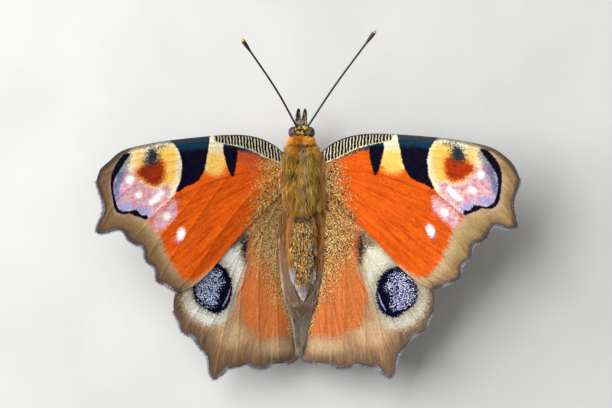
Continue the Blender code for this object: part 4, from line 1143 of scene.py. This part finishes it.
def growBody(name, coat, seed):
    rng = np.random.default_rng(seed)
    tries = coat["count"] * 3
    back = rng.uniform(*coat["span"], tries)
    angle = rng.uniform(-math.pi, math.pi, tries)
    width = np.interp(back, profile[:, 0], profile[:, 1])
    keep = rng.uniform(0, profile[:, 1].max(), tries) < width + 0.15
    back, angle = back[keep][:coat["count"]], angle[keep][:coat["count"]]
    aside = np.abs(np.cos(angle))
    keep = aside > coat.get("beside", -1)
    if "bareEye" in coat:
        eyeBack, eyeReach, eyeAside = coat["bareEye"]
        keep = (np.abs(back - eyeBack) >= eyeReach) | (aside <= eyeAside)
    back, angle, aside = back[keep], angle[keep], aside[keep]
    roots = skinPoint(back, angle)
    normals = skinNormal(back, angle)
    out, along, up = coat["lie"]
    lies = np.stack([out * np.sign(roots[:, 0]) * aside, np.full(len(back), along), up * np.sin(angle)], -1)
    lies = lies + rng.normal(0, coat["spread"], lies.shape) + 0.2 * noiseOver(rng, roots, 1.3)[:, None]
    lengths = rng.uniform(*coat["length"], len(back)) * (1 + 0.18 * noiseOver(rng, roots, 0.9))
    lengths = lengths * np.where(roots[:, 2] < 5.8, 0.7, 1.0)
    lifts = np.radians(coat["lift"]) * rng.uniform(0.55, 1.45, len(back))
    widths = coat["width"] * rng.uniform(0.75, 1.25, len(back))
    makeCoat(name + "Hair", roots, normals, lies, lengths, widths, lifts,
             bakeSpots(turnShare(angle), (back - bakeArea["bodyFront"]) / bakeArea["bodyLength"]),
             clumpChance(rng, roots, coat["clump"]), hairMaterial)


for seed, (name, coat) in enumerate(bodyCoat.items()):
    growBody(name, coat, 10 + seed)
print("body made")

# Eyes: dark glossy balls whose facets show as a fine grid of bumps

eyeShape = {"centre": (1.28, -10.95, 7.1), "radii": (0.74, 0.88, 0.96), "facets": 15000.0,
            "around": 48, "rings": 32, "dark": (0.012, 0.006, 0.006), "brown": (0.15, 0.075, 0.055)}


def makeEyeMaterial():
    material, tree, shader, place = newMaterial("eyeFacets", 0.35, 0.4)
    shader.inputs["Coat Weight"].default_value = 0.12
    cells = addNode(tree, "TexVoronoi", Vector=place, Scale=eyeShape["facets"], Randomness=0.15)
    brown = between(tree, noiseOf(tree, place, 2600.0), 0.42, 0.62)
    colour = colourMix(tree, brown, eyeShape["dark"], eyeShape["brown"])
    paint(tree, shader, colour, cells.outputs["Distance"], 0.4, 0.03)
    return material


eyeMaterial = makeEyeMaterial()
for sideName, side in sides.items():
    piece, ball = makeBall("eyeBall_" + sideName, eyeShape["around"], eyeShape["rings"])
    spots = ball * eyeShape["radii"] + np.array(eyeShape["centre"]) * (side, 1, 1)
    piece.data.vertices.foreach_set("co", bodyWorld(spots).ravel())
    piece.data.materials.append(eyeMaterial)
    piece.data.shade_smooth()
    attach(piece, "root")
    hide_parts("eye_" + sideName)
print("eyes made")


# A round rod swept along a line of points, its rings capped at both ends
def makeRod(name, path, radii, sidesCount, material):
    path = np.array(path, float)
    along = unit(np.gradient(path, axis=0))
    across = unit(np.cross(along, np.array([0.13, 0.21, 0.97])))
    upward = np.cross(across, along)
    angles = np.arange(sidesCount) * 2 * math.pi / sidesCount
    around = across[:, None] * np.cos(angles)[None, :, None] + upward[:, None] * np.sin(angles)[None, :, None]
    rings = path[:, None] + np.asarray(radii)[:, None, None] * around
    rows = len(path)
    faces = []
    for row in range(rows - 1):
        for corner in range(sidesCount):
            after = (corner + 1) % sidesCount
            faces.append((row * sidesCount + corner, row * sidesCount + after,
                          (row + 1) * sidesCount + after, (row + 1) * sidesCount + corner))
    faces.append(tuple(range(sidesCount))[::-1])
    faces.append(tuple((rows - 1) * sidesCount + corner for corner in range(sidesCount)))
    mesh = bpy.data.meshes.new(name)
    mesh.from_pydata(bodyWorld(rings.reshape(-1, 3)), [], faces)
    mesh.update()
    first = mesh.polygons[0]
    if np.dot(np.array(first.normal), np.array(first.center) - bodyWorld(path[:1])[0]) < 0:
        mesh.flip_normals()
    storeAttribute(mesh, "along", np.repeat(np.linspace(0, 1, rows), sidesCount))
    mesh.shade_smooth()
    mesh.materials.append(material)
    piece = bpy.data.objects.new(name, mesh)
    bpy.context.collection.objects.link(piece)
    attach(piece, "root")
    return piece


# Feelers: thin ringed stems with a club, pale at the very tip

feeler = {"root": (0.62, -11.45, 7.75), "left": (9.8, -24.5, 14.6), "right": (10.7, -26.1, 10.8),
          "radius": 0.15, "clubRadius": 0.30, "clubLength": 2.7, "rings": 40, "rows": 160,
          "dark": (0.024, 0.012, 0.012), "ring": (0.18, 0.12, 0.10), "tipColour": (0.62, 0.44, 0.22)}


def makeFeelerMaterial():
    material, tree, shader, _ = newMaterial("feelerRings", 0.55, 0.35)
    along = attributeOf(tree, "along")
    ring = math2(tree, "SINE", times(tree, along, feeler["rings"] * 2 * math.pi))
    pale = times(tree, between(tree, ring, 0.75, 0.98), 0.4)
    colour = colourMix(tree, pale, feeler["dark"], feeler["ring"])
    paint(tree, shader, colourMix(tree, between(tree, along, 0.965, 0.985), colour, feeler["tipColour"]))
    return material


feelerMaterial = makeFeelerMaterial()
for sideName, side in sides.items():
    root = np.array(feeler["root"]) * (side, 1, 1)
    tip = np.array(feeler[sideName]) * (side, 1, 1)
    bow = root + (tip - root) * 0.45 + np.array([-side * 0.35, 0.0, 0.5])
    path = evenly(curveThrough([root, bow, tip], 30), feeler["rows"])
    left = np.linspace(1, 0, feeler["rows"]) * np.linalg.norm(tip - root)
    club = np.clip((feeler["clubLength"] - left) / feeler["clubLength"], 0, 1)
    radii = feeler["radius"] + (feeler["clubRadius"] - feeler["radius"]) * smoothStep(club, 0, 0.65)
    radii = radii * np.sqrt(np.clip(left / 0.35, 0.03, 1))
    radii = radii * (1 + 0.05 * np.sin(np.linspace(0, 1, feeler["rows"]) * feeler["rings"] * 2 * math.pi))
    piece = makeRod("feeler_" + sideName, path, radii, 12, feelerMaterial)
    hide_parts("antenna_" + sideName)
print("feelers made")

# Tongue: a coil under the head

tongueShape = {"centre": (-11.4, 4.75), "coil": 0.95, "step": 0.62, "turns": 1.6, "radius": 0.17}
turns = np.linspace(0, tongueShape["turns"], 120)
reach = tongueShape["coil"] - tongueShape["step"] * turns * 0.92
coilPath = np.stack([0 * turns, tongueShape["centre"][0] + reach * np.sin(2 * math.pi * turns),
                     tongueShape["centre"][1] + reach * np.cos(2 * math.pi * turns)], -1)
coilPath = np.vstack([[[0, -11.35, 6.2]], coilPath])
coilRadii = np.linspace(1.1, 0.6, len(coilPath)) * tongueShape["radius"]
piece = makeRod("tongueCoil", coilPath, coilRadii, 12, feelerMaterial)
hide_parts("proboscis")

# Palps: two hairy snouts that reach forward between the feelers

palpShape = {"root": (0.46, -11.6, 6.4), "tip": (0.5, -14.35, 7.4), "bow": 0.35, "radius": 0.19,
             "hairs": 3800, "length": (0.35, 0.75), "width": 0.08, "clump": (0.16, 0.3, 0.16)}


# Spots on a rod, by their share of its length and their angle round it
def rodSpots(path, radii, place, angle, upright):
    share = np.linspace(0, 1, len(path))
    centre = np.stack([np.interp(place, share, path[:, axis]) for axis in range(3)], -1)
    along = unit(np.stack([np.interp(place, share, np.gradient(path[:, axis])) for axis in range(3)], -1))
    across = unit(np.cross(along, np.array([upright])))
    upward = np.cross(across, along)
    normals = across * np.cos(angle)[:, None] + upward * np.sin(angle)[:, None]
    return centre + normals * np.interp(place, share, radii)[:, None], normals, along


def growPalp(sideName, side):
    root = np.array(palpShape["root"]) * (side, 1, 1)
    tip = np.array(palpShape["tip"]) * (side, 1, 1)
    bow = (root + tip) / 2 - np.array([0, 0, palpShape["bow"]])
    path = evenly(curveThrough([root, bow, tip], 20), 40)
    share = np.linspace(0, 1, 40)
    radii = palpShape["radius"] * (0.55 + 0.6 * np.sin(math.pi * np.clip(0.15 + 0.8 * share, 0, 1)))
    radii = radii * np.sqrt(np.clip((1 - share) / 0.15, 0.02, 1))
    piece = makeRod("palpCore_" + sideName, path, radii, 12, palpMaterial)
    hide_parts("palp_" + sideName)
    rng = np.random.default_rng(31 if side > 0 else 32)
    count = palpShape["hairs"]
    place = rng.uniform(0.0, 0.97, count)
    angle = rng.uniform(-math.pi, math.pi, count)
    roots, normals, along = rodSpots(path, radii, place, angle, (0.0, 0.0, 1.0))
    lengths = rng.uniform(*palpShape["length"], count) * (1.1 - 0.6 * place)
    lifts = np.radians(rng.uniform(8, 26, count)) * (1.5 - place)
    widths = palpShape["width"] * rng.uniform(0.7, 1.2, count)
    makeCoat("palpHair_" + sideName, roots, normals, along + rng.normal(0, 0.16, (count, 3)), lengths, widths,
             lifts, bakeSpots(turnShare(angle), place), clumpChance(rng, roots, palpShape["clump"]),
             palpMaterial)


def makePalpMaterial():
    material, tree, shader, _ = newMaterial("palpHair", 0.7, 0.2)
    pale = moreThan(tree, attributeOf(tree, "chance"), 0.7)
    paint(tree, shader, colourMix(tree, pale, hairColours["headDark"], hairColours["headGrey"]))
    return material


palpMaterial = makePalpMaterial()
for sideName, side in sides.items():
    growPalp(sideName, side)
print("mouthparts made")

# Legs: scaled rods with bristles and a jointed foot with two claws

legShape = {
    "mid": [(1.25, -5.1, 4.9), (4.9, -6.3, 5.2), (6.9, -7.3, 1.0), (8.6, -9.6, 0.0)],
    "hind": [(1.25, -1.9, 4.9), (4.3, 1.0, 5.2), (6.3, 5.0, 1.0), (7.4, 8.9, 0.0)],
    "femur": (0.30, 0.22), "tibia": (0.21, 0.17), "tarsus": (0.15, 0.11), "joints": 5,
    "foreleg": [(0.95, -7.9, 4.9), (1.15, -9.3, 3.95), (1.0, -10.9, 4.6)], "forelegRadius": 0.2,
    # Bristles: their number, length and lift in degrees
    "bristles": {"femur": (420, 0.35, 24), "tibia": (420, 0.35, 24), "tarsus": (260, 0.18, 20),
                 "foreleg": (1400, 0.6, 28)}, "bristleWidth": 0.055,
    "dark": (0.045, 0.028, 0.018), "pale": (0.26, 0.17, 0.10)}


def makeLegMaterial():
    material, tree, shader, place = newMaterial("legScales", 0.6, 0.3, 0.1)
    cells = addNode(tree, "TexVoronoi", Vector=place, Scale=9000.0)
    split = addNode(tree, "SeparateColor", Color=cells.outputs["Color"])
    colour = colourMix(tree, split.outputs[0], legShape["dark"], legShape["pale"])
    paint(tree, shader, colour, cells.outputs["Distance"], 0.3, 0.03)
    return material


legMaterial = makeLegMaterial()


def growBristles(name, path, radii, part, seed):
    count, length, lift = legShape["bristles"][part]
    rng = np.random.default_rng(seed)
    place = rng.uniform(0.02, 0.98, count)
    angle = rng.uniform(-math.pi, math.pi, count)
    roots, normals, along = rodSpots(path, radii, place, angle, (0.1, 0.2, 1.0))
    lifts = np.radians(lift) * rng.uniform(0.6, 1.4, count)
    lengths = length * rng.uniform(0.7, 1.3, count)
    # Near the floor the bristles get shorter
    lengths = np.minimum(lengths, np.maximum(roots[:, 2] - 0.03, 0.02) * 1.6)
    makeCoat(name, roots, normals, along, lengths, np.full(count, legShape["bristleWidth"]), lifts,
             bakeSpots(turnShare(angle), place), rng.uniform(0, 1, count), legMaterial)


def makeLeg(pair, sideName, side, seed):
    stem = "leg_" + pair + "_" + sideName
    hip, knee, ankle, toe = (np.array(point) * (side, 1, 1) for point in legShape[pair])
    for part, start, end in (("femur", hip, knee), ("tibia", knee, ankle)):
        first, last = legShape[part]
        share = np.linspace(0, 1, 28)
        path = start + (end - start) * share[:, None]
        radii = (first + (last - first) * share) * (1 + 0.22 * np.sin(math.pi * share ** 0.8))
        radii = radii * np.sqrt(np.clip(np.minimum(share, 1 - share) / 0.05, 0.25, 1))
        piece = makeRod(part + "_" + pair + "_" + sideName, path, radii, 14, legMaterial)
        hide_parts(stem + "_" + part)
        growBristles(part + "Bristles_" + pair + "_" + sideName, path, radii, part, seed)
        seed += 1
    first, last = legShape["tarsus"]
    share = np.linspace(0, 1, 61)
    bend = ankle + (toe - ankle) * 0.32
    bend[2] = first
    end = toe + np.array([0, 0, last])
    path = evenly(curveThrough([ankle, bend, end], 20), 61)
    pinch = np.abs(np.cos(math.pi * share * legShape["joints"])) ** 8
    radii = (first + (last - first) * share) * (1 - 0.22 * pinch)
    path[:, 2] = np.maximum(path[:, 2], radii)
    piece = makeRod("tarsus_" + pair + "_" + sideName, path, radii, 12, legMaterial)
    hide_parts(stem + "_tarsus")
    growBristles("tarsusBristles_" + pair + "_" + sideName, path, radii, "tarsus", seed)
    along = unit(np.array([toe - bend]))[0] * (1, 1, 0)
    sideways = np.array([-along[1], along[0], 0])
    for claw, lean in (("inner", -1), ("outer", 1)):
        hook = np.array([end, end + along * 0.25 + sideways * lean * 0.12 + (0, 0, 0.05),
                         end + along * 0.42 + sideways * lean * 0.2 + (0, 0, -0.06)])
        makeRod("claw_" + pair + "_" + sideName + "_" + claw, evenly(curveThrough(hook, 6), 10),
                np.linspace(0.06, 0.015, 10), 8, eyeMaterial)


for sideName, side in sides.items():
    makeLeg("mid", sideName, side, 50 + 10 * (side > 0))
    makeLeg("hind", sideName, side, 70 + 10 * (side > 0))
    points = [np.array(point) * (side, 1, 1) for point in legShape["foreleg"]]
    path = evenly(curveThrough(points, 12), 30)
    radii = legShape["forelegRadius"] * np.linspace(1.1, 0.6, 30)
    piece = makeRod("frontLeg_" + sideName, path, radii, 12, legMaterial)
    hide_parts("foreleg_" + sideName)
    growBristles("frontLegHair_" + sideName, path, radii, "foreleg", 90 + side)
print("legs made")

# Long hair that sweeps from the body over the wing bases and down the hindwings' inner folds

baseHair = {"above": 0.06,
            "fore": {"count": 3600, "length": (0.5, 1.1), "width": 0.085, "lift": 12, "lean": [(0, 0.14)],
                     "clump": (0.16, 1.4, 1.0), "start": {"left": -0.25, "right": -0.02}},
            "rear": {"count": 2600, "length": (0.2, 0.45), "width": 0.09, "lift": 7, "lean": [(0, -0.15)],
                     "clump": (0.11, 0.11, 0.2)},
            "hind": {"count": 13500, "length": (0.8, 1.7), "width": 0.085, "lift": 13,
                     "lean": [(0.4, 0.12), (7, 0.1), (11, -0.3), (16, -0.45), (19, -0.1)],
                     "clump": (0.1, 0.7, 0.5),
                     "farthest": [(0.4, 3.2), (5, 3.35), (10, 3.15), (12, 2.95), (13.7, 2.6), (15.5, 2.0),
                                  (17.4, 1.3), (19.3, 0.9), (21.3, 0.5)]}}
wingHairColours = {"gold": (0.52, 0.24, 0.035), "brown": (0.22, 0.11, 0.025), "pale": (0.66, 0.46, 0.20),
                   "mauve": (0.29, 0.195, 0.155), "rust": (0.66, 0.26, 0.055), "leftFoldLight": (0.66, 0.40, 0.26),
                   "dark": (0.085, 0.040, 0.018), "tailGrey": (0.30, 0.285, 0.24)}


def makeWingHairMaterial():
    material, tree, shader, _ = newMaterial("wingHair", 0.65, 0.3, 0.15)
    root = attributeOf(tree, "root", "Vector")
    out, back, up = addNode(tree, "SeparateXYZ", Vector=root).outputs
    chance = attributeOf(tree, "chance")

    def tint(under, name, *shares):
        return colourMix(tree, times(tree, *shares), under, wingHairColours[name])

    def most(limit):
        return moreThan(tree, chance, limit)

    front = tint(tint(wingHairColours["gold"], "brown", most(0.5)), "pale", most(0.84))
    specks = tint(wingColours["speckDark"], "gold", most(0.34))
    specks = colourMix(tree, most(0.8), specks, wingColours["speckPale"])
    front = colourMix(tree, between(tree, math2(tree, "ABSOLUTE", out), 3.2, 3.7), front, specks)
    fold = tint(tint(wingHairColours["rust"], "brown", most(0.7)), "mauve", most(0.84))
    fold = tint(fold, "dark", lessThan(tree, chance, 0.14))
    grey = tint(wingHairColours["mauve"], "tailGrey", between(tree, back, 14.5, 17.5))
    grey = tint(tint(grey, "pale", most(0.84)), "dark", lessThan(tree, chance, 0.14))
    fold = colourMix(tree, between(tree, back, 6.5, 11.0), fold, grey)
    # Fold hair on the left side gets a lighter pinkish tan: painted light against the shade on that fold
    fold = tint(fold, "leftFoldLight", between(tree, out, 0.5, 1.5), 0.5, between(tree, back, 15.0, 11.0),
                between(tree, back, 3.5, 7.0))
    folded = times(tree, between(tree, back, 0.5, 3.0), between(tree, up, 7.6, 7.2))
    paint(tree, shader, colourMix(tree, folded, front, fold))
    return material


wingHairMaterial = makeWingHairMaterial()


def sheetNormal(height, out, back):
    small = 0.02
    slopeOut = (height(out + small, back) - height(out - small, back)) / (2 * small)
    slopeBack = (height(out, back + small) - height(out, back - small)) / (2 * small)
    return unit(np.stack([-slopeOut, -slopeBack, np.ones_like(out)], -1))


# Places on the unwrap for hair on a wing, from how far out and back it grows
def wingSpots(out, back):
    return bakeSpots(np.clip(out / bakeArea["wingWidth"], 0, 1),
                     np.clip((back - bakeArea["wingFront"]) / bakeArea["wingLength"], 0, 1))


# Hair that grows just above a wing and points back, leaning outward by a share that changes with the place
def growWingHair(name, sideName, side, height, spots, coat, seed):
    rng = np.random.default_rng(seed)
    out, back = spots.T
    roots = np.stack([side * out, back, height(out, back) + baseHair["above"]], -1)
    normals = sheetNormal(height, out, back) * (side, 1, 1)
    lean = np.interp(back, *zip(*coat["lean"]))
    lies = np.stack([side * lean, 1 + 0 * out, 0 * out], -1) + rng.normal(0, 0.1, (len(out), 3))
    lengths = rng.uniform(*coat["length"], len(out))
    lifts = np.radians(coat["lift"]) * rng.uniform(0.4, 1.6, len(out))
    makeCoat(name + "_" + sideName, roots, normals, lies, lengths, np.full(len(out), coat["width"]), lifts,
             wingSpots(out, back), clumpChance(rng, roots, coat["clump"]), wingHairMaterial, 0.2)


for sideName, side in sides.items():
    rng = np.random.default_rng(120 + side)
    count = baseHair["fore"]["count"]
    back = rng.uniform(-7.9, 0.2, count)
    out = thoraxHalfWidth(back) + baseHair["fore"]["start"][sideName] + rng.exponential(0.18, count)
    keep = out < 3.6
    growWingHair("foreBaseHair", sideName, side, foreHeight, np.stack([out[keep], back[keep]], -1),
                 baseHair["fore"], 130 + side)
    count = baseHair["rear"]["count"]
    edge = evenly(curveThrough(foreWing["inner"], 8), 200)
    reach = (4 + 62 * rng.beta(1.1, 2.2, count)).astype(int)
    spot = edge[reach] + rng.uniform(-0.1, 0.5, (count, 1)) * np.array([[0.75, -0.66]])
    growWingHair("rearEdgeHair", sideName, side, foreHeight, spot, baseHair["rear"], 136 + side)
    count = baseHair["hind"]["count"]
    back = rng.uniform(0.4, 21.3, count)
    nearest = np.where(back < 14.3, abdomenHalfWidth(back) - 0.2, -0.4)
    farthest = np.interp(back, *zip(*baseHair["hind"]["farthest"]))
    out = nearest + rng.uniform(0, 1, count) * (farthest - nearest)
    growWingHair("foldHair", sideName, side, hindHeight, np.stack([out, back], -1), baseHair["hind"],
                 140 + side)
print("wing hair made")

# Fringe: fine scale hairs along the scalloped margins, dark at the vein ends and paler between

fringeShape = {"spacing": 0.06, "length": {"fore": (0.3, 0.46), "hind": (0.38, 0.58)}, "width": 0.11}
fringeColours = {"grey": (0.29, 0.28, 0.33), "pale": (0.56, 0.55, 0.60), "brown": (0.13, 0.10, 0.105)}


def makeFringeMaterial():
    material, tree, shader, _ = newMaterial("fringeScales", 0.6, 0.3, 0.1)
    chance = attributeOf(tree, "chance")
    colour = colourMix(tree, between(tree, chance, 0.35, 0.6), fringeColours["brown"], fringeColours["grey"])
    paint(tree, shader, colourMix(tree, between(tree, chance, 0.72, 0.95), colour, fringeColours["pale"]))
    return material


fringeMaterial = makeFringeMaterial()


def growFringe(name, sideName, side, wing, height, seed):
    rng = np.random.default_rng(seed)
    _, margin, _ = wingSides(wing)
    length = np.linalg.norm(np.diff(margin, axis=0), axis=1).sum()
    line = evenly(margin, int(length / fringeShape["spacing"]))
    along = unit(np.gradient(line, axis=0))
    outward = np.stack([along[:, 1], -along[:, 0]], -1)
    middle = np.array(wing["middle"])
    if ((line - middle) * outward).sum() < 0:
        outward = -outward
    line, outward, along = (np.repeat(each, 2, axis=0) for each in (line, outward, along))
    count = len(line)
    line = line - outward * rng.uniform(0.02, 0.2, (count, 1))
    outward = unit(outward + along * rng.normal(0, 0.18, (count, 1)))
    plan = layWing(line, wing, sideName)
    ahead = layWing(line + outward * 0.1, wing, sideName) - plan
    roots = np.stack([side * plan[:, 0], plan[:, 1], height(plan[:, 0], plan[:, 1])], -1)
    normals = sheetNormal(height, plan[:, 0], plan[:, 1]) * (side, 1, 1)
    lies = np.stack([side * ahead[:, 0], ahead[:, 1], 0 * ahead[:, 0]], -1)
    teeth = np.linalg.norm(line[:, None] - np.array(wing["teeth"]), axis=2).min(1)
    chance = np.clip(rng.uniform(0.2, 0.85, count) + 0.25 * smoothStep(teeth, 0.5, 1.6), 0, 1)
    lengths = rng.uniform(*fringeShape["length"][name[:4]], count)
    makeCoat(name + "_" + sideName, roots, normals, lies, lengths, np.full(count, fringeShape["width"]),
             np.radians(rng.uniform(-6, 6, count)), wingSpots(line[:, 0], line[:, 1]), chance,
             fringeMaterial, 0.0)


for sideName, side in sides.items():
    growFringe("foreFringe", sideName, side, foreWing, foreHeight, 150 + side)
    growFringe("hindFringe", sideName, side, hindWing, hindHeight, 160 + side)
print("fringes made")

# Floor, light and camera

studio = {"floorSize": 3.0, "floorColour": (0.60, 0.60, 0.59), "floorPale": (0.84, 0.84, 0.83),
          "worldColour": (1.0, 0.99, 0.97), "worldStrength": 0.205, "lightSize": 0.5,
          "lights": {"keyLight": ((0.36, -0.18, 0.36), 5.0), "fillLight": ((-0.30, 0.25, 0.45), 0.26)}}
view = {"tilt": 7.0, "distance": 400.0, "frameWidth": 612, "millimetresPerPixel": 0.15,
        "sensor": 36.0, "aim": (-0.675, -0.225, 7.0)}


def makeStudio():
    deselectAll()
    bpy.ops.mesh.primitive_plane_add(size=studio["floorSize"], location=(0, 0, 0))
    floor = bpy.context.active_object
    floor.name = "floor"
    material, tree, shader, place = newMaterial("paleFloor", 0.7, 0.2)
    tone = noiseOf(tree, place, 40.0, 4.0)
    paint(tree, shader, colourMix(tree, tone, studio["floorColour"], studio["floorPale"]))
    floor.data.materials.append(material)
    world = bpy.data.worlds.new("studioWorld")
    bpy.context.scene.world = world
    world.use_nodes = True
    background = world.node_tree.nodes["Background"]
    background.inputs[0].default_value = rgb(studio["worldColour"])
    background.inputs[1].default_value = studio["worldStrength"]
    for name, (spot, power) in studio["lights"].items():
        light = bpy.data.lights.new(name, "AREA")
        light.energy = power
        light.size = studio["lightSize"]
        lamp = bpy.data.objects.new(name, light)
        bpy.context.collection.objects.link(lamp)
        lamp.location = spot
        aim = np.array([0, 0, 0.007]) - np.array(spot)
        lamp.rotation_euler = (math.atan2(math.hypot(aim[0], aim[1]), -aim[2]), 0,
                               math.atan2(aim[1], aim[0]) - math.pi / 2)


def makeCamera():
    tilt = math.radians(view["tilt"])
    back = np.array([math.sin(tilt), 0, math.cos(tilt)])
    aim = np.array([axisX + view["aim"][0], zeroY + view["aim"][1], view["aim"][2]])
    data = bpy.data.cameras.new("photoCamera")
    data.sensor_width = view["sensor"]
    data.lens = view["sensor"] * view["distance"] / (view["frameWidth"] * view["millimetresPerPixel"])
    data.clip_start, data.clip_end = 0.01, 20.0
    camera = bpy.data.objects.new("photoCamera", data)
    bpy.context.collection.objects.link(camera)
    camera.location = (aim + back * view["distance"]) * mm
    right = np.array([-math.cos(tilt), 0, math.sin(tilt)])
    up = np.array([0.0, -1.0, 0.0])
    camera.rotation_euler = Matrix(np.stack([right, up, back], 1).tolist()).to_euler()
    bpy.context.scene.camera = camera


makeStudio()
makeCamera()
bpy.context.scene.view_settings.view_transform = "Standard"
print("studio made")
